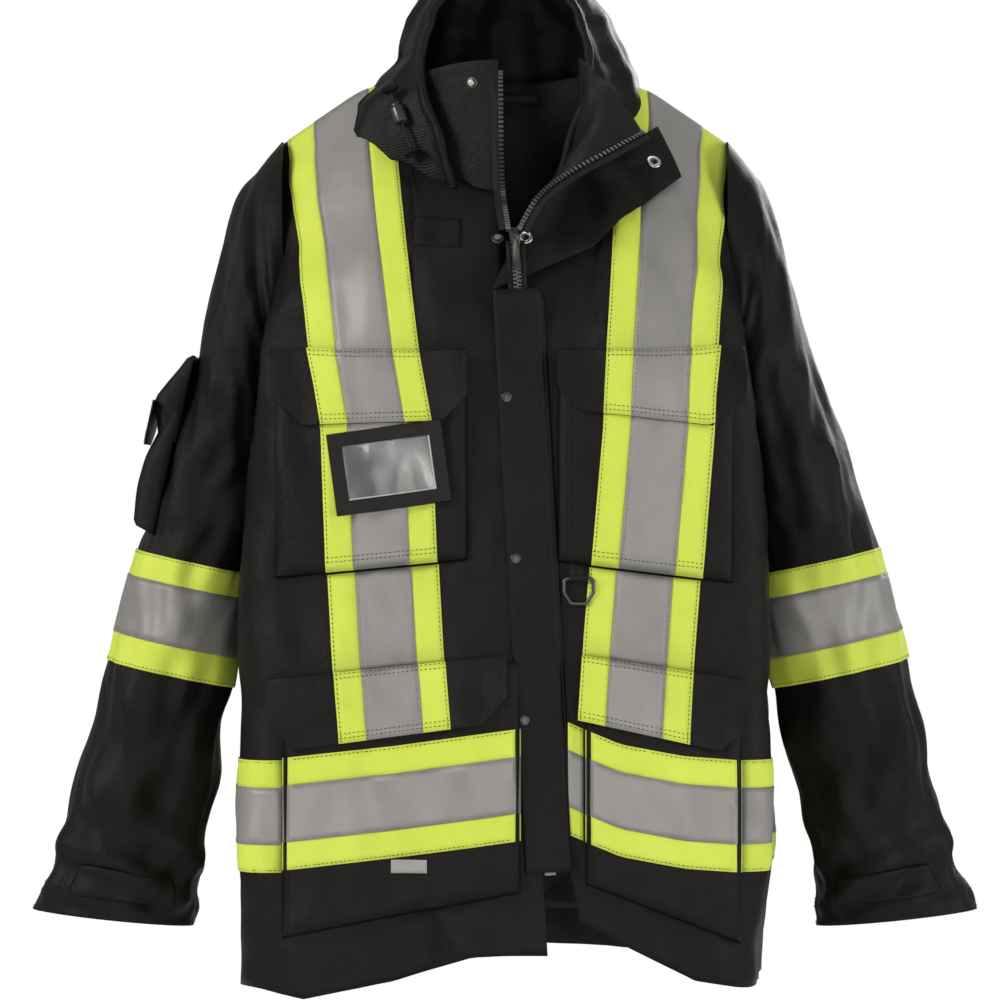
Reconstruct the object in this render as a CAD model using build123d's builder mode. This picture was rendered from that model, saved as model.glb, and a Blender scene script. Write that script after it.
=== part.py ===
"""Hooded high-visibility parka on its own hanger loop, front half open at the neck.

+X is the wearer's left, -Y is the front, +Z is up. The origin is the middle of the
hanger loop at the back neck. Millimetres throughout.
"""

import os

from math import cos, radians, sin, tan

from build123d import *

os.makedirs("parts", exist_ok=True)

sides = {"right": -1, "left": 1}

# Body, measured down from the hanger loop
hem_z, hip_z, waist_z, armpit_z = -814, -609, -440, -300
hem_half, hip_half, waist_half, armpit_half = 230, 238, 222, 212
front_y, front_lean = -178.8, 2.55  # front plane at loop height, and its lean in degrees
back_y = 38
body_corner = 24
shell_cloth, lining_cloth, layer_gap = 3.0, 2.0, 1.5

# Shoulders and neck
neck_half, neck_z, shoulder_half, shoulder_slope = 83, 16, 212, 38.0
ridge_y = -40
break_x, chest_break_z, back_break_z = 127, -210, -160
neck_centre_y, neck_depth = -54, 62
collar_cloth, collar_top = 3.0, 20

# Front closure: a line that leans across the front plane
closure_x, closure_z, closure_lean = 9, -140, 3.15
closure_gap = 8  # from the zipper line to each front edge
row_inner, row_outer, row_depth = 0.8, 3.8, 3.0
zip_tape_width, zip_tape_cloth = 16, 0.8
slider_half, slider_long, slider_plate, slider_clear = 6.0, 15, 1.2, 0.3
pull_pin, pull_eye, pull_long, pull_half, pull_plate, pin_clear = 0.8, 1.9, 30, 4.5, 1.6, 0.06
flap_low, flap_cloth = 4.0, 2.0
storm_free, storm_sewn, storm_top, storm_bottom = -23, 20, -195, -712
snap_levels, snap_line = (-141, -285, -430, -575), -15.5
snap_radius, post_radius, post_high, socket_deep, cap_high = 6.0, 2.0, 3.0, 2.6, 1.6

# Reflective tape
lime_width, silver_width, tape_cloth, tape_clear = 100, 50, 0.5, 0.1
band_lift = {"right": 30, "left": 45}  # how far the hip band rises towards the closure

# Sleeves: centre x and z, tilt of the section from level, half width and half depth
sleeve_sections = [
    (213.6, -195, 90, 100, 62),
    (228.5, -209, 83.2, 97.7, 66),
    (241.5, -252, 71, 66, 66),
    (255.5, -302, 46, 44, 64),
    (271, -370, 12.4, 46, 63),
    (287, -440, 12.4, 51, 61),
    (308, -545, 12.4, 57, 57),
    (330, -640, 12.4, 59, 52),
    (347, -715, 12.4, 66, 46),
    (356, -760, 10, 75, 41),
]
sleeve_y, sleeve_cloth, arm_lean = -48, 3.0, 12.4
elbow_index = 6
elbow_gap = 0.5
sleeve_band_top = -436

# Patch pockets on the front plane: inner x, outer x, top, bottom at inner, bottom at outer
chest_pocket = {"right": (-30, -192, -250, -430, -446), "left": (50, 190, -250, -434, -454)}
hip_pocket = {"right": (4, -200, -545, -735, -769), "left": (72, 205, -545, -735, -775)}
chest_deep, hip_deep, pocket_wall = 12, 14, 1.2
chest_flap_high, hip_flap_high, flap_overhang, flap_clip = 64, 66, 6, 24
flap_clear = 0.6
lid_rise = {"chest": 0, "hip": 22}  # how much higher a flap and pocket mouth are at the inner end
tape_ref_z = -247
tape_axis = {  # tape centre line on each front, x at the chest flap and x at the hip flap
    "right": (-126, -98),
    "left": (140, 117),
}

# Badge holder, sleeve pocket, D-ring, cuff tab, hood
badge_wide, badge_high, badge_cloth, badge_rim, badge_lean = 100, 70, 1.2, 12, 9.0
badge_x, badge_z = -112, -318
ring_wire, ring_wide, ring_high, ring_x, ring_z = 3.4, 30, 26, 66, -449
sleeve_pocket_wide, sleeve_pocket_high, sleeve_pocket_out = 84, 118, 68
cuff_tab_cloth = 2.4
hood_sections = [  # z, half width, front y, back y
    (-75, 140, -128, 61),
    (-15, 137, -128, 61),
    (35, 104, -120, 58),
    (80, 88, -100, 46),
    (118, 52, -70, 26),
]
hood_cloth, hood_clear = 2.5, 3.0
hood_mouth_half, hood_mouth_low, hood_mouth_top = 74, -40, 98
cord_radius, lock_bore, lock_radius, lock_long = 1.6, 1.75, 6.5, 17
loop_half, loop_high, loop_cloth, loop_bulge = 32, 9, 1.6, 4.8

# Working planes
lean = radians(front_lean)
front_normal = Vector(0, -cos(lean), sin(lean))
front_up = Vector(0, sin(lean), cos(lean))
front = Plane(origin=(0, front_y, 0), x_dir=(1, 0, 0), z_dir=front_normal)
closure_slope = tan(radians(closure_lean))
closure = Plane(
    origin=front.origin + Vector(closure_x + closure_z * closure_slope, 0, 0),
    x_dir=Vector(1, 0, 0) + front_up * closure_slope,
    z_dir=front_normal,
)


def save(builder, label):
    builder.part.label = label
    export_step(builder.part, f"parts/{label}.step")


def front_y_at(z):
    """Y of the front plane at height z."""
    return front_y + z * tan(lean)


def shoulder_plane(side, break_y, break_z):
    """Plane through one shoulder ridge and the point where its slope meets the body."""
    drop = (shoulder_half - neck_half) * tan(radians(shoulder_slope))
    neck = Vector(side * neck_half, ridge_y, neck_z)
    tip = Vector(side * shoulder_half, ridge_y, neck_z - drop)
    normal = (tip - neck).cross(Vector(side * break_x, break_y, break_z) - neck)
    if normal.Z < 0:
        normal = -normal
    return Plane(origin=neck, x_dir=tip - neck, z_dir=normal)


slopes = [
    shoulder_plane(side, y, z)
    for side in sides.values()
    for y, z in ((front_y_at(chest_break_z), chest_break_z), (back_y, back_break_z))
]


def torso_block(grow):
    """Solid torso, every wall moved out by grow."""
    levels = (
        (hem_z, hem_half),
        (hip_z, hip_half),
        (waist_z, waist_half),
        (armpit_z, armpit_half),
        (neck_z + 100, armpit_half),
    )
    with BuildPart() as block:
        for z, half in levels:
            near, far = front_y_at(z) - grow, back_y + grow
            with BuildSketch(Plane.XY.offset(z)):
                with Locations((0, (near + far) / 2)):
                    RectangleRounded(2 * (half + grow), far - near, body_corner + grow)
        loft(ruled=True)
        for slope in slopes:
            split(bisect_by=slope.offset(grow), keep=Keep.BOTTOM)
    return block.part


def torso_skin(low, high):
    """The layer between two distances from the torso's outer face."""
    with BuildPart() as skin:
        add(torso_block(high))
        add(torso_block(low), mode=Mode.SUBTRACT)
    return skin.part


def cut_out(points, near=-320, far=150):
    """A front-view outline, (x, z) points, run through the body along Y."""
    with BuildPart() as cutter:
        with BuildSketch(Plane.XZ.offset(-far)):
            with BuildLine():
                Polyline(*points, close=True)
            make_face()
        extrude(amount=far - near)
    return cutter.part


def plate(plane, points, low, high):
    """A flat outline on a plane, between two heights above it."""
    with BuildPart() as slab:
        with BuildSketch(plane.offset(low)):
            with BuildLine():
                Polyline(*points, close=True)
            make_face()
        extrude(amount=high - low)
    return slab.part


def level_box(x_low, x_high, y_low, y_high, z_low, z_high):
    with BuildPart(Plane((x_low, y_low, z_low))) as cell:
        Box(x_high - x_low, y_high - y_low, z_high - z_low, align=(Align.MIN,) * 3)
    return cell.part


def closure_at(z):
    """X of the zipper line at height z."""
    return closure_x + (closure_z - z) * closure_slope


def neck_hole(shrink=0, low=-260):
    """The neck opening as an upright oval column."""
    with BuildPart() as column:
        with BuildSketch(Plane.XY.offset(low)):
            with Locations((0, neck_centre_y)):
                Ellipse(neck_half - shrink, neck_depth - shrink)
        extrude(amount=500)
    return column.part


def sleeve_block(side, grow, first=0, last=len(sleeve_sections) - 1):
    """Solid sleeve between two of its sections, walls moved out by grow."""
    with BuildPart() as arm:
        for x, z, tilt, half, depth in sleeve_sections[first : last + 1]:
            turn = radians(tilt)
            across = Vector(side * cos(turn), 0, sin(turn))
            plane = Plane(
                origin=(side * x, sleeve_y, z),
                x_dir=across,
                z_dir=across.cross(Vector(0, side, 0)),
            )
            with BuildSketch(plane):
                Ellipse(half + grow, depth + grow)
        loft(ruled=True)
    return arm.part


def arm_plane(side, z_middle):
    """Section plane across the arm at the height where its centre line is z_middle."""
    x0, z0 = sleeve_sections[4][:2]
    x1, z1 = sleeve_sections[elbow_index][:2]
    x = x0 + (z_middle - z0) / (z1 - z0) * (x1 - x0)
    turn = radians(arm_lean)
    return Plane(
        origin=(side * x, sleeve_y, z_middle),
        x_dir=(side * cos(turn), 0, sin(turn)),
        z_dir=(-side * sin(turn), 0, cos(turn)),
    )


# ---- Shell and lining -------------------------------------------------------------
shell_layer = torso_skin(-shell_cloth, 0)
lining_outer = -shell_cloth - layer_gap
lining_layer = torso_skin(lining_outer - lining_cloth, lining_outer)

crease = ((closure_at(closure_z), closure_z), (128, -34))  # where the left front turns out
turned_out = cut_out([(-14, -192), crease[0], crease[1], (128, 130), (-14, 130)], near=-320, far=ridge_y)
front_parts = storm_bottom - 8  # the left front recedes below the zipper's end
front_edges = {
    "right": [(-260, 60), (-260, hem_z - 5)]
    + [(closure_at(hem_z) - closure_gap, hem_z - 5), (closure_at(60) - closure_gap, 60)],
    "left": [(260, 60), (260, hem_z - 5), (128, hem_z - 5), (104, -778)]
    + [(closure_at(front_parts) + closure_gap, front_parts), (closure_at(60) + closure_gap, 60)],
}
armhole_y, armhole_z, armhole_half, armhole_high = -48, -200, 52, 88

with BuildPart() as armholes:
    with BuildSketch(Plane.YZ.offset(-280)):
        with Locations((armhole_y, armhole_z)):
            Ellipse(armhole_half, armhole_high)
    extrude(amount=560)

half_seam = 0.15  # half the gap between panels that are sewn edge to edge

with BuildPart() as back_panel:
    add(shell_layer)
    add(level_box(-300, 300, ridge_y + half_seam, 200, hem_z - 5, 120), mode=Mode.INTERSECT)
    add(neck_hole(), mode=Mode.SUBTRACT)
    add(armholes.part, mode=Mode.SUBTRACT)
save(back_panel, "back_panel")

for name in sides:
    with BuildPart() as front_panel:
        add(shell_layer)
        add(cut_out(front_edges[name], near=-320, far=ridge_y - half_seam), mode=Mode.INTERSECT)
        add(neck_hole(), mode=Mode.SUBTRACT)
        add(armholes.part, mode=Mode.SUBTRACT)
        if name == "left":
            add(turned_out, mode=Mode.SUBTRACT)
    save(front_panel, f"{name}_front_panel")

lining_hem = 30  # the lining stops this far above the hem
facing = 13  # and this far short of the zipper line
with BuildPart() as back_lining:
    add(lining_layer)
    add(level_box(-300, 300, ridge_y + half_seam, 200, hem_z + lining_hem, 120), mode=Mode.INTERSECT)
    add(neck_hole(-1), mode=Mode.SUBTRACT)
    add(armholes.part, mode=Mode.SUBTRACT)
save(back_lining, "back_lining")

lining_edges = {
    "right": [(-260, 60), (-260, hem_z + lining_hem)]
    + [(closure_at(hem_z) - facing, hem_z + lining_hem), (closure_at(60) - facing, 60)],
    "left": [(260, 60), (260, hem_z + lining_hem), (138, hem_z + lining_hem)]
    + [(closure_at(-690) + facing, -690), (closure_at(60) + facing, 60)],
}
with BuildPart() as front_linings:
    for name in sides:
        with BuildPart(mode=Mode.PRIVATE) as one:
            add(lining_layer)
            add(cut_out(lining_edges[name], near=-320, far=ridge_y - half_seam), mode=Mode.INTERSECT)
            add(neck_hole(-1), mode=Mode.SUBTRACT)
            add(armholes.part, mode=Mode.SUBTRACT)
            if name == "left":
                add(turned_out, mode=Mode.SUBTRACT)
        add(one.part)
save(front_linings, "front_linings")

# ---- Collar, turned-out facing, hanger loop ----------------------------------------
collar_seat = torso_block(half_seam)
collar_half, collar_reach = neck_half + collar_cloth, neck_depth + collar_cloth
with BuildPart() as collar:
    with BuildSketch(Plane.XY.offset(-120)):
        with Locations((0, neck_centre_y)):
            Ellipse(collar_half + 1, collar_reach + 1)
            Ellipse(collar_half + 1 - collar_cloth, collar_reach + 1 - collar_cloth, mode=Mode.SUBTRACT)
    extrude(amount=collar_top + 120)
    add(collar_seat, mode=Mode.SUBTRACT)
    add(
        cut_out([(closure_at(0) - closure_gap, -200), (200, -200), (200, 90), (closure_at(0) - closure_gap, 90)],
                near=-320, far=neck_centre_y),
        mode=Mode.SUBTRACT,
    )
save(collar, "collar")

facing_low, facing_cloth = 3.0, 2.0
lapel_outline = [(-12, -190), (18, -158), (122, -40), (146, -42), (176, -98), (86, -146), (12, -184)]
with BuildPart() as turned_flap:
    add(torso_skin(facing_low, facing_low + facing_cloth))
    add(cut_out(lapel_outline, near=-320, far=ridge_y - 1), mode=Mode.INTERSECT)
save(turned_flap, "turned_storm_flap")

with BuildPart() as hang_loop:
    with BuildSketch(Plane.XY.offset(-loop_high / 2)):
        with BuildLine():
            start, end = (-loop_half, loop_bulge - 1.2), (loop_half, loop_bulge - 1.2)
            outer = ThreePointArc(start, (0, -loop_cloth / 2), end)
            Line(outer @ 1, (loop_half - 3, loop_bulge - 1.2))
            ThreePointArc((loop_half - 3, loop_bulge - 1.2), (0, loop_cloth / 2), (3 - loop_half, loop_bulge - 1.2))
            Line((3 - loop_half, loop_bulge - 1.2), outer @ 0)
        make_face()
    extrude(amount=loop_high)
save(hang_loop, "hang_loop")

# ---- Zipper ------------------------------------------------------------------------
zip_middle = -shell_cloth - zip_tape_cloth / 2 - 0.1
zip_bottom = storm_bottom + 8
zip_top = closure_z + 8


def zip_part(points, low, high):
    return plate(closure, points, zip_middle + low, zip_middle + high)


def rectangle(u_low, u_high, v_low, v_high):
    return [(u_low, v_low), (u_high, v_low), (u_high, v_high), (u_low, v_high)]


with BuildPart() as zipper_teeth:
    for side in sides.values():
        inner, outer = sorted((side * row_inner, side * row_outer))
        add(zip_part(rectangle(inner, outer, zip_bottom, zip_top), -row_depth / 2, row_depth / 2))
save(zipper_teeth, "zipper_teeth")

with BuildPart() as zipper_tapes:
    for side in sides.values():
        inner, outer = sorted((side * row_outer, side * (row_outer + zip_tape_width)))
        add(zip_part(rectangle(inner, outer, zip_bottom, zip_top), -zip_tape_cloth / 2, zip_tape_cloth / 2))
save(zipper_tapes, "zipper_tapes")

with BuildPart() as zipper_end_box:
    add(zip_part(rectangle(-5, 5, zip_bottom - 12, zip_bottom), -row_depth / 2, row_depth / 2))
save(zipper_end_box, "zipper_end_box")

slider_v = closure_z
plate_low = row_depth / 2 + slider_clear
rim_low = zip_tape_cloth / 2 + slider_clear
slider_box = (slider_v - slider_long / 2, slider_v + slider_long / 2)
pin_height = plate_low + slider_plate + pull_eye + slider_clear
with BuildPart() as zipper_slider:
    for face in (-1, 1):
        deck = sorted((face * plate_low, face * (plate_low + slider_plate)))
        add(zip_part(rectangle(-slider_half, slider_half, *slider_box), *deck))
        for side in sides.values():
            edge = sorted((side * (row_outer + slider_clear), side * slider_half))
            rim = sorted((face * rim_low, face * plate_low))
            add(zip_part(rectangle(*edge, *slider_box), *rim))
    post_half = row_inner - 0.2
    add(zip_part(rectangle(-post_half, post_half, slider_v, slider_v + slider_long / 2), -plate_low, plate_low))
    for side in sides.values():
        lug = sorted((side * (pull_eye + slider_clear), side * (pull_eye + slider_clear + 1.3)))
        add(zip_part(rectangle(*lug, slider_v - 1.7, slider_v + 1.7), plate_low + slider_plate, pin_height + pull_pin + 0.4))
    pin_centre = closure.offset(zip_middle + pin_height).from_local_coords((0, slider_v, 0))
    pin_plane = Plane(origin=pin_centre, x_dir=closure.y_dir, z_dir=closure.x_dir)
    with BuildSketch(pin_plane.offset(-pull_eye - slider_clear)):
        Circle(pull_pin)
    extrude(amount=2 * (pull_eye + slider_clear))
save(zipper_slider, "zipper_slider")

with BuildPart() as zipper_pull:
    with BuildSketch(pin_plane.offset(-pull_eye)):
        Circle(pull_eye)
    extrude(amount=2 * pull_eye)
    neck = rectangle(-pull_eye, pull_eye, slider_v - 6, slider_v)
    add(zip_part(neck, pin_height - pull_plate / 2, pin_height + pull_plate / 2))
    tab = rectangle(-pull_half, pull_half, slider_v - pull_long, slider_v - 5)
    add(zip_part(tab, pin_height - pull_plate / 2, pin_height + pull_plate / 2))
    with BuildSketch(pin_plane.offset(-pull_eye - 1)):
        Circle(pull_pin + pin_clear)
    extrude(amount=2 * pull_eye + 2, mode=Mode.SUBTRACT)
save(zipper_pull, "zipper_pull")

# ---- Storm flap and snaps ------------------------------------------------------------
with BuildPart() as storm_flap:
    add(plate(closure, rectangle(storm_free, storm_sewn, storm_bottom, storm_top), flap_low, flap_low + flap_cloth))
save(storm_flap, "storm_flap")

seam_wide = 2.4
with BuildPart() as storm_flap_seam:
    outline = rectangle(storm_sewn + 0.4, storm_sewn + 0.4 + seam_wide, storm_bottom + 95, storm_top)
    add(plate(closure, outline, half_seam, flap_low + flap_cloth))
save(storm_flap_seam, "storm_flap_seam")


def snap_disc(u, v, low, high, radius, bore=0):
    with BuildPart() as disc:
        with BuildSketch(closure.offset(low)):
            with Locations((u, v)):
                Circle(radius)
                if bore:
                    Circle(bore, mode=Mode.SUBTRACT)
        extrude(amount=high - low)
    return disc.part


stud_base = 0.8
with BuildPart() as snap_studs:
    for v in snap_levels:
        add(snap_disc(snap_line, v, half_seam, stud_base, snap_radius))
        add(snap_disc(snap_line, v, stud_base, post_high, post_radius))
save(snap_studs, "snap_studs")

with BuildPart() as snap_sockets:
    for v in snap_levels[1:]:
        add(snap_disc(snap_line, v, flap_low - socket_deep, flap_low, snap_radius, post_radius + 0.35))
save(snap_sockets, "snap_sockets")

with BuildPart() as snap_caps:
    for v in snap_levels[1:]:
        add(snap_disc(snap_line, v, flap_low + flap_cloth, flap_low + flap_cloth + cap_high, snap_radius + 1))
save(snap_caps, "snap_caps")

# ---- Pockets and flaps ---------------------------------------------------------------
def pocket(inner, outer, top, bottom_in, bottom_out, deep, rise):
    """Patch pocket, open at the top, standing off the front by deep."""
    side = 1 if outer > inner else -1
    outline = [(inner, top + rise), (outer, top), (outer, bottom_out), (inner, bottom_in)]
    hollow = [
        (inner + side * pocket_wall, top + rise + 5),
        (outer - side * pocket_wall, top + 5),
        (outer - side * pocket_wall, bottom_out + pocket_wall),
        (inner + side * pocket_wall, bottom_in + pocket_wall),
    ]
    with BuildPart() as bag:
        add(plate(front, outline, half_seam, deep))
        add(plate(front, hollow, half_seam + pocket_wall, deep - pocket_wall), mode=Mode.SUBTRACT)
    return bag


def lid_level(bag, kind, x):
    """How far the top edge of a flap has risen at x."""
    inner, outer = bag[:2]
    return lid_rise[kind] * (outer - x) / (outer - inner)


def flap_points(bag, kind, top, high):
    """Flap outline with clipped lower corners, overhanging the pocket each side."""
    inner, outer = bag[:2]
    side = 1 if outer > inner else -1
    left, right = inner - side * flap_overhang * 0.3, outer + side * flap_overhang
    level = [
        (left, top),
        (right, top),
        (right, top - high + flap_clip),
        (right - side * flap_clip, top - high),
        (left + side * flap_clip, top - high),
        (left, top - high + flap_clip),
    ]
    return [(x, z + lid_level(bag, kind, x)) for x, z in level]


def tape_x(name, z):
    """Centre of the upright tape on a front at height z."""
    top, bottom = tape_axis[name]
    return top + (tape_ref_z - z) / (tape_ref_z - hip_z) * (bottom - top)


def tape_strip(name, width, top, bottom, level=lambda x: 0):
    """Outline of the upright tape on a front between two heights."""
    corners = [
        (tape_x(name, top) - width / 2, top),
        (tape_x(name, top) + width / 2, top),
        (tape_x(name, bottom) + width / 2, bottom),
        (tape_x(name, bottom) - width / 2, bottom),
    ]
    return [(x, z + level(x)) for x, z in corners]


def tape_pair(plane, name, top, bottom, low, level):
    """Lime strip with the silver strip on it, as two solids."""
    lime = plate(plane, tape_strip(name, lime_width, top, bottom, level), low, low + tape_cloth)
    narrow = tape_strip(name, silver_width, top, bottom, level)
    return lime, plate(plane, narrow, low + tape_cloth, low + 2 * tape_cloth)


tape_rise = 2 * tape_cloth + tape_clear
flap_levels = {}
for name in sides:
    for kind, bag, deep, high in (
        ("chest", chest_pocket[name], chest_deep, chest_flap_high),
        ("hip", hip_pocket[name], hip_deep, hip_flap_high),
    ):
        body = pocket(*bag, deep, lid_rise[kind])
        save(body, f"{name}_{kind}_pocket")
        inner, outer, top = bag[:3]
        lid_top = top + flap_overhang
        low = deep + tape_rise + flap_clear
        flap_levels[name, kind] = (lid_top, low)
        with BuildPart() as flap:
            add(plate(front, flap_points(bag, kind, lid_top, high), low, low + flap_cloth))
        save(flap, f"{name}_{kind}_flap")
        with BuildPart() as flap_tape:
            level = lambda x: lid_level(bag, kind, x)
            outside_low = low + flap_cloth + tape_clear
            for strip in tape_pair(front, name, lid_top, lid_top - high, outside_low, level):
                add(strip)
        save(flap_tape, f"{name}_{kind}_flap_tape")

# ---- Tape on the body ------------------------------------------------------------------
shoulder_top_x = {"right": -158, "left": 176}
for name, side in sides.items():
    chest_bottom = min(chest_pocket[name][3:]) - 1
    chest_top = chest_pocket[name][2]
    hip_top = hip_pocket[name][2] + lid_rise["hip"] + flap_overhang + 1
    for colour, width, layer in (("lime", lime_width, 0), ("silver", silver_width, 1)):
        low = tape_clear + layer * tape_cloth
        over = [
            (tape_x(name, tape_ref_z) - width / 2, tape_ref_z + 4),
            (tape_x(name, tape_ref_z) + width / 2, tape_ref_z + 4),
            (shoulder_top_x[name] + width / 2, 40),
            (shoulder_top_x[name] - width / 2, 40),
        ]
        with BuildPart() as body_tape:
            with BuildPart(mode=Mode.PRIVATE) as yoke:
                add(torso_skin(low, low + tape_cloth))
                add(cut_out(over, near=-320, far=ridge_y - 1), mode=Mode.INTERSECT)
                if name == "left":
                    add(turned_out, mode=Mode.SUBTRACT)
                add(neck_hole(-30), mode=Mode.SUBTRACT)
            add(yoke.part)
            pocket_low = chest_deep + low
            add(plate(front, tape_strip(name, width, chest_top - 2, chest_bottom + 22), pocket_low, pocket_low + tape_cloth))
            add(plate(front, tape_strip(name, width, chest_bottom - 1, hip_top), low, low + tape_cloth))
        save(body_tape, f"{name}_tape_{colour}")


def band_outline(name, width):
    """Hip band across one front: level at the side, rising towards the closure."""
    side = sides[name]
    middle = hip_z - lime_width / 2
    inner = closure_at(hip_z) + side * (closure_gap + 16)
    return [
        (side * 260, middle + width / 2),
        (inner, middle + width / 2 + band_lift[name]),
        (inner, middle - width / 2 + band_lift[name]),
        (side * 260, middle - width / 2),
    ]


for colour, width, layer in (("lime", lime_width, 0), ("silver", silver_width, 1)):
    low = tape_clear + layer * tape_cloth
    with BuildPart() as hip_band:
        with BuildPart(mode=Mode.PRIVATE) as rear:
            add(torso_skin(low, low + tape_cloth))
            middle = hip_z - lime_width / 2
            add(level_box(-300, 300, ridge_y, 200, middle - width / 2, middle + width / 2), mode=Mode.INTERSECT)
        add(rear.part)
        for name in sides:
            inner, outer, top = hip_pocket[name][:3]
            outline = band_outline(name, width)
            with BuildPart(mode=Mode.PRIVATE) as ahead:
                add(torso_skin(low, low + tape_cloth))
                add(cut_out(outline, near=-320, far=ridge_y - half_seam), mode=Mode.INTERSECT)
                bag = [(inner - sides[name] * 400, 0), (outer + sides[name], 0)]
                bag += [(outer + sides[name], hem_z), (inner - sides[name] * 400, hem_z)]
                add(cut_out(bag, near=-320, far=ridge_y - half_seam), mode=Mode.SUBTRACT)
            add(ahead.part)
            with BuildPart(mode=Mode.PRIVATE) as over_pocket:
                add(plate(front, outline, hip_deep + low, hip_deep + low + tape_cloth))
                bag = [(inner, 0), (outer, 0), (outer, hem_z), (inner, hem_z)]
                add(cut_out(bag), mode=Mode.INTERSECT)
            add(over_pocket.part)
    save(hip_band, f"hip_band_{colour}")

cross_top, cross_low, cross_out = -150, -600, 150
for colour, width, layer in (("lime", lime_width, 0), ("silver", silver_width, 1)):
    low = tape_clear + layer * tape_cloth
    with BuildPart() as back_cross:
        with BuildPart(mode=Mode.PRIVATE) as strips:
            for side in sides.values():
                half = width / 2 * 1.06
                strip = [
                    (-side * cross_out - half, cross_top),
                    (-side * cross_out + half, cross_top),
                    (side * cross_out + half, cross_low),
                    (side * cross_out - half, cross_low),
                ]
                add(cut_out(strip, near=0, far=150))
        add(torso_skin(low, low + tape_cloth))
        add(strips.part, mode=Mode.INTERSECT)
    save(back_cross, f"back_cross_{colour}")

# ---- Badge holder ------------------------------------------------------------------------
badge_turn = radians(badge_lean)
badge_low = chest_deep + tape_rise + flap_clear
badge = Plane(
    origin=front.offset(badge_low).from_local_coords((badge_x, badge_z, 0)),
    x_dir=Vector(1, 0, 0) * cos(badge_turn) + front_up * sin(badge_turn),
    z_dir=front_normal,
)


def badge_rectangle(inset, drop_top=0):
    half = badge_wide / 2 - inset
    return rectangle(-half, half, -badge_high + inset, -inset - drop_top)


card_cloth, window_cloth = 0.5, 0.4
with BuildPart() as badge_holder:
    add(plate(badge, badge_rectangle(0), 0, 2 * badge_cloth))
    add(plate(badge, badge_rectangle(badge_rim), badge_cloth, 3 * badge_cloth), mode=Mode.SUBTRACT)
save(badge_holder, "badge_holder")
with BuildPart() as badge_card:
    add(plate(badge, badge_rectangle(badge_rim + 0.2), badge_cloth + 0.05, badge_cloth + 0.05 + card_cloth))
save(badge_card, "badge_card")
with BuildPart() as badge_window:
    add(plate(badge, badge_rectangle(badge_rim + 0.2), badge_cloth + 0.65, badge_cloth + 0.65 + window_cloth))
save(badge_window, "badge_window")

# ---- D-ring, mic tab, plain tag --------------------------------------------------------------
ring_height = 4.0
ring_plane = front.offset(ring_height)
loop_out, loop_in = ring_wire / 2 + 1.7, ring_wire / 2 + 0.3
with BuildPart() as d_ring:
    with BuildLine(ring_plane):
        half = ring_wide / 2 - ring_wire / 2
        drop = ring_high - ring_wire
        FilletPolyline(
            (ring_x - half, ring_z), (ring_x + half, ring_z), (ring_x + half, ring_z - drop * 0.55),
            (ring_x + half * 0.5, ring_z - drop), (ring_x - half * 0.5, ring_z - drop),
            (ring_x - half, ring_z - drop * 0.55), radius=4, close=True,
        )
    with BuildSketch(Plane(origin=ring_plane.from_local_coords((ring_x, ring_z, 0)), x_dir=front_up, z_dir=(1, 0, 0))):
        Circle(ring_wire / 2)
    sweep()
save(d_ring, "d_ring")

with BuildPart() as d_ring_loop:
    with BuildSketch(Plane(origin=ring_plane.from_local_coords((ring_x - 9, ring_z, 0)), x_dir=front_up, z_dir=(1, 0, 0))):
        Circle(loop_out)
        with Locations((loop_out * 0.9, -(ring_height - half_seam) / 2 + 0.35)):
            Rectangle(loop_out * 1.8, ring_height - half_seam + 0.7)
        Circle(loop_in, mode=Mode.SUBTRACT)
    extrude(amount=18)
    add(torso_block(half_seam), mode=Mode.SUBTRACT)
save(d_ring_loop, "d_ring_loop")

with BuildPart() as mic_tab:
    outline = [(-83, -126), (-40, -126), (-40, -150), (-83, -150)]
    add(torso_skin(half_seam, 2.2))
    add(cut_out(outline, near=-320, far=ridge_y - 1), mode=Mode.INTERSECT)
save(mic_tab, "mic_tab")

with BuildPart() as plain_tag:
    tag_low = hip_deep + 2 * tape_cloth + tape_clear + 0.1
    add(plate(front, rectangle(-102, -70, -713, -701), tag_low, tag_low + 0.8))
save(plain_tag, "plain_tag")

# ---- Sleeves -----------------------------------------------------------------------------------
last_section = len(sleeve_sections) - 1
for name, side in sides.items():
    elbow = arm_plane(side, sleeve_sections[elbow_index][1])
    with BuildPart() as sleeve:
        add(sleeve_block(side, 0, 0, elbow_index))
        add(sleeve_block(side, -sleeve_cloth, 0, elbow_index), mode=Mode.SUBTRACT)
        split(bisect_by=elbow.offset(elbow_gap / 2), keep=Keep.TOP)
    save(sleeve, f"{name}_sleeve")
    with BuildPart() as forearm:
        add(sleeve_block(side, 0, elbow_index, last_section))
        add(sleeve_block(side, -sleeve_cloth, elbow_index, last_section), mode=Mode.SUBTRACT)
        split(bisect_by=elbow.offset(-elbow_gap / 2), keep=Keep.BOTTOM)
    save(forearm, f"{name}_forearm")
    with BuildPart() as sleeve_band:
        for layer, width in enumerate((lime_width, silver_width)):
            low = tape_clear + layer * tape_cloth
            trim = (lime_width - width) / 2
            with BuildPart(mode=Mode.PRIVATE) as ring:
                add(sleeve_block(side, low + tape_cloth, 3, elbow_index))
                add(sleeve_block(side, low, 3, elbow_index), mode=Mode.SUBTRACT)
                split(bisect_by=arm_plane(side, sleeve_band_top).offset(-trim), keep=Keep.BOTTOM)
                split(bisect_by=arm_plane(side, sleeve_band_top).offset(trim - lime_width), keep=Keep.TOP)
            add(ring.part)
    save(sleeve_band, f"{name}_sleeve_band")

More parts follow.
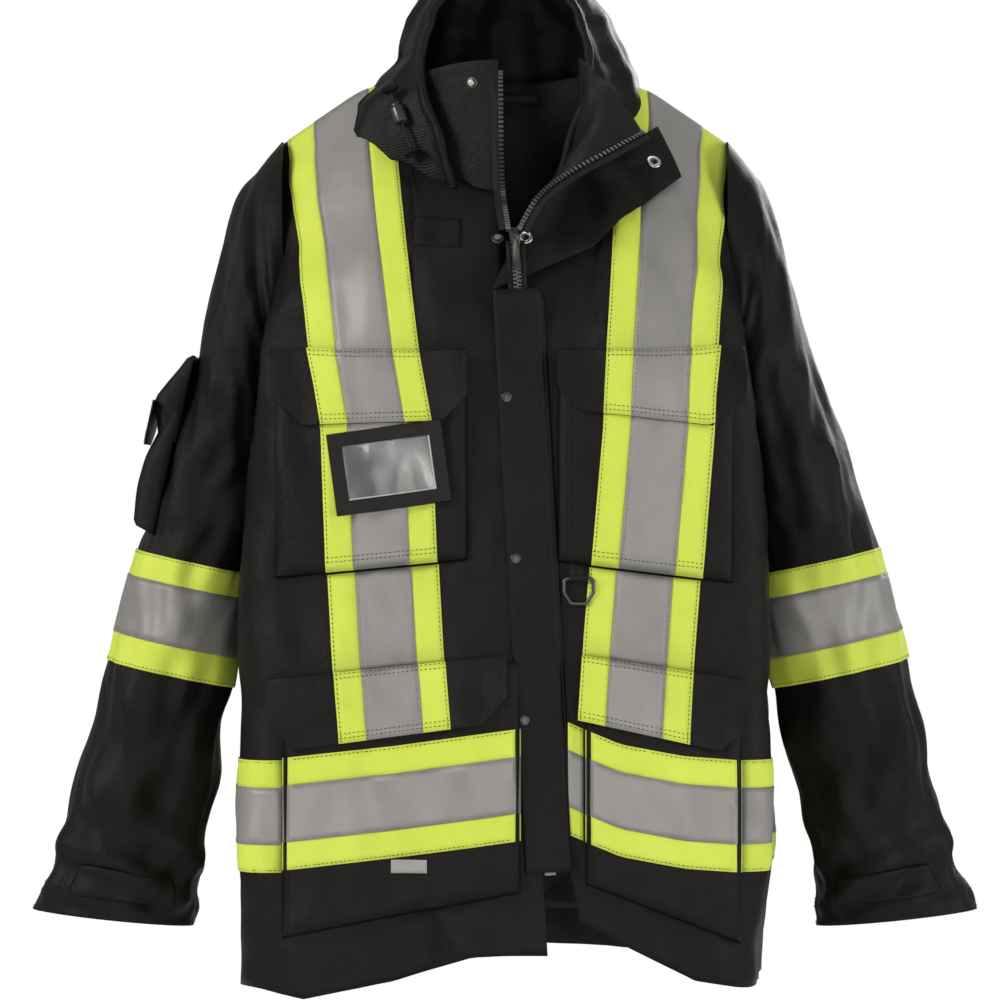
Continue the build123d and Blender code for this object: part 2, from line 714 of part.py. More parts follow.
# Pen pocket on the outside of the right sleeve
outside = Plane(
    origin=arm_plane(-1, -362).origin,
    x_dir=(0, -1, 0),
    z_dir=(-cos(radians(arm_lean)), 0, sin(radians(arm_lean))),
)
half, reach = sleeve_pocket_wide / 2, sleeve_pocket_out
with BuildPart() as sleeve_pocket:
    add(plate(outside, rectangle(-half, half, -sleeve_pocket_high / 2, sleeve_pocket_high / 2), 20, reach))
    hollow = rectangle(pocket_wall - half, half - pocket_wall, pocket_wall - sleeve_pocket_high / 2, sleeve_pocket_high)
    add(plate(outside, hollow, 52, reach - pocket_wall), mode=Mode.SUBTRACT)
    add(sleeve_block(-1, 0.3, 0, elbow_index), mode=Mode.SUBTRACT)
save(sleeve_pocket, "sleeve_pocket")
with BuildPart() as sleeve_pocket_flap:
    lid = rectangle(-half - 3, half + 3, sleeve_pocket_high / 2 - 38, sleeve_pocket_high / 2 + 4)
    add(plate(outside, lid, reach + flap_clear, reach + flap_clear + flap_cloth))
save(sleeve_pocket_flap, "sleeve_pocket_flap")

# Cuff tabs: sewn at the inner end, lapped over the front of the cuff
tab_gap = 0.4
tab_bottom, tab_top = -742, -700
tab_root, tab_tip = -30, 38  # across the arm from its centre line
for name, side in sides.items():
    middle = arm_plane(side, (tab_bottom + tab_top) / 2)
    with BuildPart() as cuff_tab:
        add(sleeve_block(side, tab_gap + cuff_tab_cloth, 7, last_section))
        add(sleeve_block(side, tab_gap, 7, last_section), mode=Mode.SUBTRACT)
        with BuildPart(mode=Mode.PRIVATE) as window:
            with BuildSketch(Plane(origin=middle.origin, x_dir=middle.x_dir, z_dir=(0, -1, 0))):
                with Locations(((tab_root + tab_tip) / 2, 0)):
                    RectangleRounded(tab_tip - tab_root, tab_top - tab_bottom, 14)
            extrude(amount=200)
        add(window.part, mode=Mode.INTERSECT)
    save(cuff_tab, f"{name}_cuff_tab")
    root = middle.origin + middle.x_dir * tab_root
    print(name, "cuff tab root", root, "box", cuff_tab.part.bounding_box())

# ---- Hood ----------------------------------------------------------------------------------------
def hood_block(grow):
    with BuildPart() as bag:
        for z, half_wide, near, far in hood_sections:
            with BuildSketch(Plane.XY.offset(z)):
                with Locations((0, (near + far) / 2)):
                    Ellipse(half_wide + grow, (far - near) / 2 + grow)
        loft(ruled=True)
    return bag.part


with BuildPart() as hood:
    add(hood_block(0))
    with BuildPart(mode=Mode.PRIVATE) as hollow:
        add(hood_block(-hood_cloth))
        add(level_box(-300, 300, -300, 300, -300, hood_sections[-1][0] - hood_cloth), mode=Mode.INTERSECT)
    add(hollow.part, mode=Mode.SUBTRACT)
    add(torso_block(hood_clear), mode=Mode.SUBTRACT)
    mouth = [
        (-hood_mouth_half * 0.5, hood_mouth_top), (-hood_mouth_half, 50), (-hood_mouth_half, 12),
        (-80, -10), (-80, -80), (200, -80), (200, -22), (hood_mouth_half, -10),
        (hood_mouth_half, 50), (hood_mouth_half * 0.5, hood_mouth_top),
    ]
    add(cut_out(mouth, near=-320, far=-30), mode=Mode.SUBTRACT)
save(hood, "hood")

cord_from, cord_to = Vector(-104.5, -105.5, -4), Vector(-85.7, -118, -56)
along = (cord_to - cord_from).normalized()
cord_plane = Plane(origin=cord_from, x_dir=(1, 0, 0.5), z_dir=along)
cord_long = (cord_to - cord_from).length
anchor_long, anchor_radius = 6, 8.6
with BuildPart() as hood_cord:
    with BuildSketch(cord_plane):
        Circle(cord_radius)
    extrude(amount=cord_long)
save(hood_cord, "hood_cord")
with BuildPart() as cord_anchors:
    for start in (-anchor_long, cord_long):
        with BuildSketch(cord_plane.offset(start)):
            Circle(anchor_radius)
        extrude(amount=anchor_long)
    add(hood_block(0.2), mode=Mode.SUBTRACT)
save(cord_anchors, "cord_anchors")
lock_start = 14
with BuildPart() as cord_lock:
    with BuildSketch(cord_plane.offset(lock_start)):
        Circle(lock_radius)
        Circle(lock_bore, mode=Mode.SUBTRACT)
    extrude(amount=lock_long)
save(cord_lock, "cord_lock")

for (kind_side, kind), (lid_top, low) in flap_levels.items():
    bag = chest_pocket[kind_side] if kind == "chest" else hip_pocket[kind_side]
    hinge = front.offset(low + flap_cloth).from_local_coords(((bag[0] + bag[1]) / 2, lid_top, 0))
    print(kind_side, kind, "flap hinge", hinge)
print("storm hinge", closure.offset(flap_low + flap_cloth).from_local_coords((storm_sewn, -480, 0)))
print("badge hinge", badge.offset(2 * badge_cloth).origin, badge.x_dir)
print("ring hinge", ring_plane.from_local_coords((ring_x, ring_z, 0)))
print("sleeve flap hinge", outside.offset(sleeve_pocket_out + flap_clear + flap_cloth).from_local_coords(
    (0, sleeve_pocket_high / 2 + 4, 0)), outside.x_dir, outside.y_dir)
print("elbow", arm_plane(1, sleeve_sections[elbow_index][1]).origin)
print("closure axis", closure.y_dir, "slider pin", pin_centre)
print("cord axis", along, "cord long", cord_long, "lock", cord_from + along * (lock_start + lock_long / 2))
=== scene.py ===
import math
import bpy
import bmesh
from mathutils import Matrix, Vector, noise


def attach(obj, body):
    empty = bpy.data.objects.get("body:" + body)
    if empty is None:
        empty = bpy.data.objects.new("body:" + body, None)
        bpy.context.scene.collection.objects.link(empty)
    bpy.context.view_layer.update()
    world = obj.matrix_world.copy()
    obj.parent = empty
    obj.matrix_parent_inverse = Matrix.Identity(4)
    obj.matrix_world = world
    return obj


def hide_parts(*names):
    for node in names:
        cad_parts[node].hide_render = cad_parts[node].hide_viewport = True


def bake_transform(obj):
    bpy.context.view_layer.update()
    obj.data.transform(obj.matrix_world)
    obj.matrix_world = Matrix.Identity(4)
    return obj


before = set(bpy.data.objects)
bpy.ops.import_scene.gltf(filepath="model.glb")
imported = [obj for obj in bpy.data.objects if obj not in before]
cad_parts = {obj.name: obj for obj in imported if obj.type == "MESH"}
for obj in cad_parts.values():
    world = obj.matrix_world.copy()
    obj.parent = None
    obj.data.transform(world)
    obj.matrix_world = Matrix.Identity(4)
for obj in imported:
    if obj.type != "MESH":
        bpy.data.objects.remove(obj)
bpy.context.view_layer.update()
bpy.ops.object.select_all(action="DESELECT")
print("frame loaded")


# numbers that shape the body cloth
coat = {
    "halves": [(-0.86, 0.229), (-0.814, 0.231), (-0.70, 0.239), (-0.609, 0.240), (-0.44, 0.236),
               (-0.30, 0.227), (-0.10, 0.214), (0.12, 0.213)],
    "hem": -0.814, "frontY": -0.1788, "lean": 0.04454, "backY": 0.038,
    "ridgeY": -0.040, "ridgeTop": 0.010, "neckHalf": 0.125, "slope": 0.68,
    "frontRun": 0.72, "backRun": 0.52, "ridgeRound": 0.006,
    "frontCorner": 0.030, "backCorner": 0.055, "cloth": 0.0022,
}
closure = {"x": 0.009, "z": -0.140, "slope": 0.05504, "gap": 0.008, "parts": -0.720}


def between(points, at):
    for (a, va), (b, vb) in zip(points, points[1:]):
        if at <= b or (b, vb) == points[-1]:
            t = min(1.0, max(0.0, (at - a) / (b - a)))
            return va + (vb - va) * t


def ease(a, b, v):
    t = min(1.0, max(0.0, (v - a) / (b - a)))
    return t * t * (3 - 2 * t)


def softMax(a, b, k):
    h = max(k - abs(a - b), 0.0) / k
    return max(a, b) + h * h * k * 0.25


def closureX(z):
    return closure["x"] + (closure["z"] - z) * closure["slope"]


def drop(x):
    over = abs(x) - coat["neckHalf"]
    return coat["slope"] * (max(0.0, over) if abs(over) > 0.02 else (over + 0.02) ** 2 / 0.08)


def halfAt(z):
    return between(coat["halves"], z)


def depths(x, z):
    t = max(0.0, coat["ridgeTop"] - z - drop(x))
    run = math.sqrt(t * t + 2 * coat["ridgeRound"] * t)
    near = softMax(coat["frontY"] + coat["lean"] * z, coat["ridgeY"] - coat["frontRun"] * run, 0.035)
    far = -softMax(-coat["backY"], -(coat["ridgeY"] + coat["backRun"] * run), 0.030)
    return near, far


foldSize = {"big": 0.0110, "mid": 0.0085, "fine": 0.0026, "pleat": 0.0040}


def fold(p):
    x, y, z = p
    top = ease(0.0, 0.05, coat["ridgeTop"] - z - drop(x))
    hang = ease(-0.15, -0.75, z)
    big = noise.noise(Vector((x * 8.0, y * 8.0 + 3.0, z * 4.0))) * foldSize["big"]
    mid = noise.noise(Vector((x * 21.0 + 5.0, y * 19.0, z * 9.0 + x * 12.0))) * foldSize["mid"]
    fine = noise.noise(Vector((x * 52.0, y * 50.0, z * 30.0 + 7.0))) * foldSize["fine"]
    pleat = math.sin(x * 33.0 + 1.9 * math.sin(z * 6.0 + x * 4.0)) * foldSize["pleat"] * hang
    calm = 1.0 if y > -0.06 else 0.30 + 0.70 * ease(0.03, 0.09, abs(x - closureX(z)))
    return top * calm * (big + mid + fine + pleat)


def skinBase(face, x, z):
    near, far = depths(x, z)
    corner = min(coat["frontCorner"] if face < 0 else coat["backCorner"], 0.48 * (far - near))
    half = halfAt(z)
    s = min(1.0, max(0.0, (abs(x) - half + corner) / max(corner, 1e-4)))
    inset = corner * (1 - math.sqrt(max(0.0, 1 - s * s)))
    return Vector((x, near + inset if face < 0 else far - inset, z))


# a point on the front (face -1) or back (face 1) of the cloth, n above it
def skin(face, x, z, n=0.0, rest=False):
    e = 0.003
    p = skinBase(face, x, z)
    across = skinBase(face, x + e, z) - skinBase(face, x - e, z)
    up = skinBase(face, x, z + e) - skinBase(face, x, z - e)
    normal = across.cross(up).normalized() * (1 if face < 0 else -1)
    return p + normal * (n + (0.0 if rest else fold(p)))


# a point round the side, s metres from the middle of the front, at one height
def around(side, z, s, n=0.0):
    near, far = depths(0.20, z)
    half, cf, cb = halfAt(z), coat["frontCorner"], coat["backCorner"]
    flat, arcF, wall, arcB = half - cf, cf * math.pi / 2, far - near - cf - cb, cb * math.pi / 2
    if s < flat:
        p, d = Vector((s, near, z)), Vector((0, -1, 0))
    elif s < flat + arcF:
        a = (s - flat) / cf
        p = Vector((flat + cf * math.sin(a), near + cf * (1 - math.cos(a)), z))
        d = Vector((math.sin(a), -math.cos(a), 0))
    elif s < flat + arcF + wall:
        p, d = Vector((half, near + cf + s - flat - arcF, z)), Vector((1, 0, 0))
    elif s < flat + arcF + wall + arcB:
        a = (s - flat - arcF - wall) / cb
        p = Vector((half - cb * (1 - math.cos(a)), far - cb + cb * math.sin(a), z))
        d = Vector((math.cos(a), math.sin(a), 0))
    else:
        p, d = Vector((half - cb - (s - flat - arcF - wall - arcB), far, z)), Vector((0, 1, 0))
    p.x, d.x = p.x * side, d.x * side
    return p + d * (n + fold(p))


# shader helper: one class wraps a socket
class Flow:
    def __init__(self, tree, socket):
        self.tree, self.socket = tree, socket

    def node(self, kind, settings=None, inputs=None, out=0):
        made = self.tree.nodes.new(kind)
        for key, value in (settings or {}).items():
            if key == "stops":
                ramp = made.color_ramp
                ramp.elements[0].position, ramp.elements[0].color = value[0]
                ramp.elements[1].position, ramp.elements[1].color = value[-1]
                for place, colour in value[1:-1]:
                    ramp.elements.new(place).color = colour
            else:
                setattr(made, key, value)
        for key, value in (inputs or {}).items():
            if isinstance(value, Flow):
                self.tree.links.new(value.socket, made.inputs[key])
            else:
                made.inputs[key].default_value = value
        return Flow(self.tree, made.outputs[out])

    def maths(self, operation, first, second=0.0):
        return self.node("ShaderNodeMath", {"operation": operation}, {0: first, 1: second})

    def __add__(self, other): return self.maths("ADD", self, other)
    def __radd__(self, other): return self.maths("ADD", other, self)
    def __sub__(self, other): return self.maths("SUBTRACT", self, other)
    def __rsub__(self, other): return self.maths("SUBTRACT", other, self)
    def __mul__(self, other): return self.maths("MULTIPLY", self, other)
    def __rmul__(self, other): return self.maths("MULTIPLY", other, self)

    def power(self, other): return self.maths("POWER", self, other)
    def most(self, other): return self.maths("MAXIMUM", self, other)

    def clouds(self, scale, detail=3.0, rough=0.55):
        return self.node("ShaderNodeTexNoise", {},
                         {"Vector": self, "Scale": scale, "Detail": detail, "Roughness": rough})

    def bands(self, scale, direction, twist=0.0):
        settings = {"wave_type": "BANDS", "bands_direction": direction, "wave_profile": "SIN"}
        inputs = {"Vector": self, "Scale": scale, "Distortion": twist, "Detail": 1.0, "Detail Scale": 2.0}
        return self.node("ShaderNodeTexWave", settings, inputs, out=1)

    def blend(self, a, b):
        wire = {0: self, 6: a, 7: b}
        return self.node("ShaderNodeMix", {"data_type": "RGBA"}, wire, out=2)

    def ramp(self, stops):
        return self.node("ShaderNodeValToRGB", {"stops": stops}, {0: self})


def newMaterial(name, settings):
    made = bpy.data.materials.new(name)
    made.use_nodes = True
    tree = made.node_tree
    shader = tree.nodes["Principled BSDF"]
    for key, value in settings.items():
        shader.inputs[key].default_value = value
    start = Flow(tree, None)
    place = start.node("ShaderNodeTexCoord", {}, {}, out=3)
    cut = start.node("ShaderNodeUVMap", {"uv_map": "cut"}, {})
    return made, shader, place, cut


def wire(made, shader, **links):
    names = {"colour": "Base Color", "rough": "Roughness", "normal": "Normal", "alpha": "Alpha",
             "metal": "Metallic"}
    for key, value in links.items():
        made.node_tree.links.new(value.socket, shader.inputs[names[key]])
    return made


def bump(flow, height, strength, distance, under=None):
    inputs = {"Height": height, "Strength": strength, "Distance": distance}
    if under is not None:
        inputs["Normal"] = under
    return flow.node("ShaderNodeBump", {}, inputs)


def clothMaterial(name, look):
    made, shader, place, cut = newMaterial(name, {
        "Specular IOR Level": look.get("gloss", 0.3), "Sheen Weight": look.get("sheen", 0.0),
        "Sheen Roughness": 0.45, "Sheen Tint": look.get("sheenTint", (1, 1, 1, 1)),
        "Coat Roughness": 0.4})
    weave = cut.bands(look["pitch"], "X") * 0.5 + cut.bands(look["pitch"], "Y") * 0.5
    twill = cut.bands(look["pitch"] * 0.72, "DIAGONAL")
    grain = weave * (1 - look["twill"]) + twill * look["twill"]
    slub = cut.clouds(look["pitch"] * 1.7, 2.0)
    wear = place.clouds(9.0, 5.0, 0.62)
    dust = place.clouds(38.0, 4.0, 0.7)
    base = (wear * 0.55 + dust * 0.3 + slub * 0.15 - 0.28).most(0.0).ramp(
        [(0.0, look["dark"]), (0.30, look["mid"]), (0.62, look["light"])])
    colour = (grain * look["threads"]).blend(base, look["thread"])
    rough = look["rough"] + dust * 0.14 - wear * 0.10
    crumple = place.clouds(15.0, 6.0, 0.62) * 0.7 + place.clouds(44.0, 3.0) * 0.3
    soft = bump(place, crumple, 0.45, look.get("crumple", 0.004))
    normal = bump(place, grain * 0.75 + slub * 0.25, look["bump"], look.get("relief", 0.0006), soft)
    return wire(made, shader, colour=colour, rough=rough, normal=normal)


canvas = clothMaterial("blackCanvas", {
    "pitch": 330.0, "twill": 0.7, "threads": 0.22, "bump": 0.5, "rough": 0.44, "gloss": 0.085,
    "sheenTint": (1.0, 0.93, 0.86, 1), "dark": (0.0018, 0.0018, 0.0016, 1),
    "mid": (0.0048, 0.0047, 0.0042, 1), "light": (0.0125, 0.0120, 0.0106, 1),
    "thread": (0.015, 0.0145, 0.0130, 1),
    "crumple": 0.010})
facing = clothMaterial("smoothFacing", {
    "pitch": 420.0, "twill": 0.3, "threads": 0.15, "bump": 0.25, "rough": 0.46, "gloss": 0.12,
    "dark": (0.004, 0.004, 0.0038, 1), "mid": (0.0085, 0.0084, 0.0078, 1),
    "light": (0.017, 0.0168, 0.0150, 1), "thread": (0.020, 0.0195, 0.0180, 1), "crumple": 0.008})
lime = clothMaterial("limeTape", {
    "pitch": 300.0, "twill": 0.15, "threads": 0.20, "bump": 0.30, "rough": 0.62, "gloss": 0.25,
    "sheen": 0.15, "sheenTint": (0.85, 1.0, 0.3, 1), "dark": (0.37, 0.445, 0.040, 1),
    "mid": (0.43, 0.515, 0.060, 1), "light": (0.475, 0.56, 0.085, 1), "thread": (0.32, 0.40, 0.034, 1),
    "crumple": 0.002})
webbing = clothMaterial("blackWebbing", {
    "pitch": 180.0, "twill": 0.1, "threads": 0.3, "bump": 0.7, "rough": 0.6, "gloss": 0.12,
    "dark": (0.003, 0.003, 0.003, 1), "mid": (0.006, 0.006, 0.006, 1), "light": (0.012, 0.012, 0.012, 1),
    "thread": (0.02, 0.02, 0.02, 1)})
greyTag = clothMaterial("greyTag", {
    "pitch": 420.0, "twill": 0.2, "threads": 0.4, "bump": 0.5, "rough": 0.6, "gloss": 0.3,
    "dark": (0.20, 0.20, 0.195, 1), "mid": (0.27, 0.27, 0.26, 1), "light": (0.34, 0.34, 0.33, 1),
    "thread": (0.12, 0.12, 0.12, 1)})


def silverMaterial():
    made, shader, place, cut = newMaterial("silverTape", {"Specular IOR Level": 0.4, "Coat Roughness": 0.5})
    beads = cut.node("ShaderNodeTexVoronoi", {}, {"Vector": cut, "Scale": 900.0})
    ribs = cut.bands(260.0, "X")
    scuff = place.clouds(22.0, 6.0, 0.7)
    cloud = place.clouds(5.0, 3.0, 0.5)
    shade = (cloud * 0.55 + scuff * 0.30 + ribs * 0.10).ramp(
        [(0.26, (0.142, 0.138, 0.131, 1)), (0.50, (0.186, 0.182, 0.176, 1)), (0.74, (0.245, 0.241, 0.237, 1))])
    colour = (beads * 0.25).blend(shade, (0.19, 0.19, 0.19, 1))
    rough = 0.52 + scuff * 0.16 - cloud * 0.06
    metal = 0.26 + scuff * 0.1
    soft = bump(place, place.clouds(30.0, 4.0), 0.35, 0.004)
    normal = bump(place, ribs * 0.6 + beads * 0.4, 0.22, 0.0003, soft)
    return wire(made, shader, colour=colour, rough=rough, metal=metal, normal=normal)


def quiltMaterial():
    made, shader, place, cut = newMaterial("quiltedLining", {
        "Specular IOR Level": 0.12, "Sheen Roughness": 0.4})
    a, b = cut.bands(9.0, "DIAGONAL"), cut.node("ShaderNodeMapping", {}, {
        "Vector": cut, "Rotation": (0, 0, math.pi / 2)}).bands(9.0, "DIAGONAL")
    puff = (a * b).power(0.4)
    ribs = cut.bands(300.0, "Y")
    dust = place.clouds(14.0, 5.0)
    # painted shade: the colour darkens into the quilting valleys along the puff pattern, mixed with a random
    # dust tone
    colour = (puff * 0.6 + dust * 0.4).blend((0.003, 0.003, 0.003, 1), (0.011, 0.0107, 0.010, 1))
    normal = bump(place, ribs, 0.2, 0.0003, bump(place, puff, 0.6, 0.004))
    return wire(made, shader, colour=colour, rough=0.42 + dust * 0.2, normal=normal)


def solidMaterial(name, look):
    made, shader, place, cut = newMaterial(name, {
        "Specular IOR Level": look.get("gloss", 0.5), "Coat Roughness": 0.3,
        "Metallic": look.get("metal", 0.0)})
    cloud = place.clouds(look.get("scale", 160.0), 4.0, 0.6)
    fine = place.clouds(1500.0, 2.0)
    colour = (cloud * 0.7 + fine * 0.3).blend(look["dark"], look["light"])
    rough = look["rough"] + cloud * look.get("spread", 0.18) - look.get("spread", 0.18) * 0.5
    normal = bump(place, fine * 0.6 + cloud * 0.4, look.get("bump", 0.12), 0.0003)
    return wire(made, shader, colour=colour, rough=rough, normal=normal)


silver = silverMaterial()
quilt = quiltMaterial()
moulded = solidMaterial("mouldedBlack", {"dark": (0.008, 0.008, 0.008, 1), "light": (0.02, 0.02, 0.02, 1),
                                         "rough": 0.33})
lacquer = solidMaterial("blackLacquer", {"dark": (0.010, 0.010, 0.010, 1), "light": (0.035, 0.033, 0.03, 1),
                                          "rough": 0.30, "metal": 0.55})
nickel = solidMaterial("agedNickel", {"dark": (0.34, 0.33, 0.31, 1), "light": (0.62, 0.61, 0.58, 1),
                                       "rough": 0.32, "metal": 1.0, "scale": 420.0, "bump": 0.2})
innerSnap = solidMaterial("darkSnapCore", {"dark": (0.03, 0.03, 0.03, 1), "light": (0.09, 0.085, 0.08, 1),
                                            "rough": 0.4, "metal": 0.8, "scale": 500.0})
thread = solidMaterial("sewingThread", {"dark": (0.005, 0.005, 0.0045, 1), "light": (0.020, 0.0195, 0.018, 1),
                                         "rough": 0.55, "scale": 900.0, "gloss": 0.12})
greyThread = solidMaterial("greyThread", {"dark": (0.10, 0.105, 0.09, 1), "light": (0.18, 0.19, 0.16, 1),
                                           "rough": 0.6, "scale": 900.0})
cardBoard = solidMaterial("plainCard", {"dark": (0.010, 0.010, 0.010, 1), "light": (0.024, 0.024, 0.024, 1),
                                         "rough": 0.38, "scale": 60.0, "bump": 0.02})
# pale grey for the painted highlight along the badge window's edge
glint = solidMaterial("paintedEdgeGlint", {"dark": (0.16, 0.16, 0.16, 1), "light": (0.50, 0.50, 0.50, 1),
                                      "rough": 0.22, "scale": 90.0, "bump": 0.05})


def vinylMaterial():
    made, shader, place, cut = newMaterial("clearVinyl",
                                           {"Specular IOR Level": 0.7, "Coat Weight": 0.6,
                                            "Coat Roughness": 0.12})
    ripple = place.clouds(34.0, 3.0, 0.5)
    haze = place.clouds(70.0, 5.0, 0.65)
    colour = haze.blend((0.30, 0.31, 0.31, 1), (0.62, 0.63, 0.63, 1))
    # painted glare: diagonal streaks make the pale grey vinyl more opaque, standing in for reflections on the
    # window
    glareStreak = cut.bands(4.2, "DIAGONAL", 2.5).power(6.0)
    alpha = 0.05 + haze.power(3.0) * 0.08 + glareStreak * 0.14
    normal = bump(place, ripple, 0.4, 0.003)
    return wire(made, shader, colour=colour, alpha=alpha, rough=0.12 + haze * 0.18, normal=normal)


vinyl = vinylMaterial()
print("materials made")


# mesh helpers
def finishMesh(name, bm, material, body=None, smooth=50.0, slot=None, replaces=()):
    data = bpy.data.meshes.new(name)
    bm.to_mesh(data)
    bm.free()
    made = bpy.data.objects.new(name, data)
    bpy.context.scene.collection.objects.link(made)
    data.materials.append(material)
    shade(made, smooth)
    if body:
        settle(made, body, slot, replaces)
    return made


def shade(made, angle):
    bpy.ops.object.select_all(action="DESELECT")
    made.select_set(True)
    bpy.context.view_layer.objects.active = made
    bpy.ops.object.shade_smooth_by_angle(angle=math.radians(angle))
    made.select_set(False)


def settle(made, body, slot=None, replaces=()):
    if isinstance(body, tuple):
        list(body)
        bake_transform(made)
    else:
        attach(made, body)
    if replaces:
        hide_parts(*replaces)


# a cloth grid: rows of points, with a cut map in metres; out is the way its face looks
def gridMesh(rows, closed=False, drop=None, out=None):
    bm = bmesh.new()
    outwards = 0.0
    cut = bm.loops.layers.uv.new("cut")
    places = [[bm.verts.new(p) for p in row] for row in rows]
    count = len(rows[0])
    middle = rows[len(rows) // 2]
    us, vs = [0.0], [0.0]
    for i in range(1, count + (1 if closed else 0)):
        us.append(us[-1] + (middle[i % count] - middle[i - 1]).length)
    for a, b in zip(rows, rows[1:]):
        vs.append(vs[-1] + sum((q - p).length for p, q in zip(a, b)) / count)
    for j in range(len(rows) - 1):
        for i in range(count if closed else count - 1):
            k = (i + 1) % count
            quad = [places[j][i], places[j][k], places[j + 1][k], places[j + 1][i]]
            uv = [(us[i], vs[j]), (us[i + 1], vs[j]), (us[i + 1], vs[j + 1]), (us[i], vs[j + 1])]
            if drop and all(drop(v.co) for v in quad):
                continue
            if len({v.co.to_tuple(6) for v in quad}) < 3:
                continue
            face = bm.faces.new(quad)
            for loop, at in zip(face.loops, uv):
                loop[cut].uv = at
            face.normal_update()
            centre = face.calc_center_median()
            core = sum(rows[j], Vector()) / count if closed else Vector((0, -0.05, centre.z))
            outwards += face.normal.dot(out or (centre - core).normalized()) * face.calc_area()
    if outwards < 0:
        bmesh.ops.reverse_faces(bm, faces=bm.faces[:])
    bmesh.ops.delete(bm, geom=[v for v in bm.verts if not v.link_faces], context="VERTS")
    bm.normal_update()
    return bm


def thicken(made, amount, offset=-1.0, rim=True):
    solid = made.modifiers.new("cloth", "SOLIDIFY")
    solid.thickness, solid.offset, solid.use_rim = amount, offset, rim
    apply(made, solid)


def apply(made, modifier):
    bpy.ops.object.select_all(action="DESELECT")
    made.select_set(True)
    bpy.context.view_layer.objects.active = made
    bpy.ops.object.modifier_apply(modifier=modifier.name)
    made.select_set(False)


# stitches, gathered by body and thread
sewing = {}
stitch = {"long": 0.0030, "wide": 0.00042, "high": 0.00030, "gap": 0.0010}


def sew(points, normals, body, kind="black"):
    verts, faces = sewing.setdefault((body, kind), ([], []))
    spans = [(q - p).length for p, q in zip(points, points[1:])]
    total, pitch = sum(spans), stitch["long"] + stitch["gap"]
    count, k, done = max(1, int(total / pitch)), 0, 0.0
    for i in range(count):
        at = (i + 0.5) * total / count
        while k < len(spans) - 1 and done + spans[k] < at:
            done += spans[k]
            k += 1
        t = (at - done) / max(spans[k], 1e-9)
        p = points[k].lerp(points[k + 1], t)
        n = normals[k].lerp(normals[k + 1], t).normalized()
        d = (points[k + 1] - points[k]).normalized()
        s = d.cross(n).normalized()
        b = len(verts)
        half = d * stitch["long"] * 0.5
        mid = p + n * stitch["high"] * 0.35
        verts.extend([p - half, mid + s * stitch["wide"], p + n * stitch["high"], mid - s * stitch["wide"],
                      p + half,
                      p - n * 0.0003])
        for a, c in ((1, 2), (2, 3), (3, 5), (5, 1)):
            faces.append((b, b + c, b + a))
            faces.append((b + 4, b + a, b + c))


def sewOnSkin(face, path, n, body, kind="black"):
    points, normals = [], []
    for (xa, za), (xb, zb) in zip(path, path[1:]):
        steps = max(2, int(math.hypot(xb - xa, zb - za) / 0.008))
        for i in range(steps + (1 if (xb, zb) == path[-1] else 0)):
            t = i / steps
            x, z = xa + (xb - xa) * t, za + (zb - za) * t
            p = skin(face, x, z, n)
            points.append(p)
            normals.append((skin(face, x, z, n + 0.004) - p).normalized())
    sew(points, normals, body, kind)


# body panels
def shear(r):
    return ease(-0.42, -0.19, r)


neck = {"x": 0.0865, "y": 0.0655, "at": -0.054}


def topAt(face, x):
    ridge = coat["ridgeTop"] - drop(x)
    if abs(x) >= neck["x"]:
        return ridge
    goal = neck["at"] + face * neck["y"] * math.sqrt(1 - (x / neck["x"]) ** 2)
    low, high = -0.26, ridge
    for _ in range(18):
        z = (low + high) / 2
        near, far = depths(x, z)
        if (near if face < 0 else -far) < (goal if face < 0 else -goal):
            low = z
        else:
            high = z
    return (low + high) / 2


def levelAt(face, x, r):
    return r - shear(r) * (coat["ridgeTop"] - topAt(face, x))


def shellRow(face, side, r, start):
    row = []
    hem = "back" if face > 0 else ("right" if side < 0 else "left")
    half = halfAt(r)
    c = coat["frontCorner"] if face < 0 else coat["backCorner"]
    count = 34
    for i in range(count + 1):
        t = i / count
        end = half - c
        x = start + (end - start) * t
        row.append((x, levelAt(face, x, r) + hemLift(hem, x, r), None))
    for i in range(1, 7):
        a = math.radians(15 * i)
        x = half - c + c * math.sin(a)
        row.append((x, levelAt(face, x, r) + hemLift(hem, x, r) * (1 - i / 8), a))
    points = []
    for x, z, a in row:
        near, far = depths(x, z)
        cc = min(c, 0.48 * (far - near))
        y = near if face < 0 else far
        if a is not None:
            y = y + cc * (1 - math.cos(a)) if face < 0 else y - cc * (1 - math.cos(a))
        points.append(Vector((side * x, y, z)))
    near, far = depths(half, points[-1].z)
    middle = (near + far) / 2
    last = points[-1]
    level = levelAt(face, half, r)
    for i in range(1, 7):
        points.append(Vector((last.x, last.y + (middle - last.y) * i / 6, last.z + (level - last.z) * i / 6)))
    return points


def inArmhole(p):
    return ((p.y + 0.048) / 0.050) ** 2 + ((p.z + 0.188) / 0.092) ** 2 < 1.0 and abs(p.x) > 0.15


def foldShell(bm):
    bm.normal_update()
    moves = [(v, v.normal * fold(v.co)) for v in bm.verts]
    for v, move in moves:
        v.co += move


hemLine = {
    "right": [(0.0, -0.786), (0.03, -0.787), (0.10, -0.809), (0.18, -0.824), (0.232, -0.812)],
    "left": [(0.03, -0.742), (0.06, -0.752), (0.111, -0.779), (0.17, -0.808), (0.232, -0.818)],
    "back": [(0.0, -0.796), (0.10, -0.801), (0.20, -0.812), (0.24, -0.814)],
}


def hemLift(which, x, r):
    return (between(hemLine[which], x) - coat["hem"]) * (1 - ease(coat["hem"], -0.60, r))


rowHeights = [coat["hem"] + (coat["ridgeTop"] - coat["hem"]) * i / 118 for i in range(119)]
crease = ((0.009, -0.140), (0.128, -0.026))


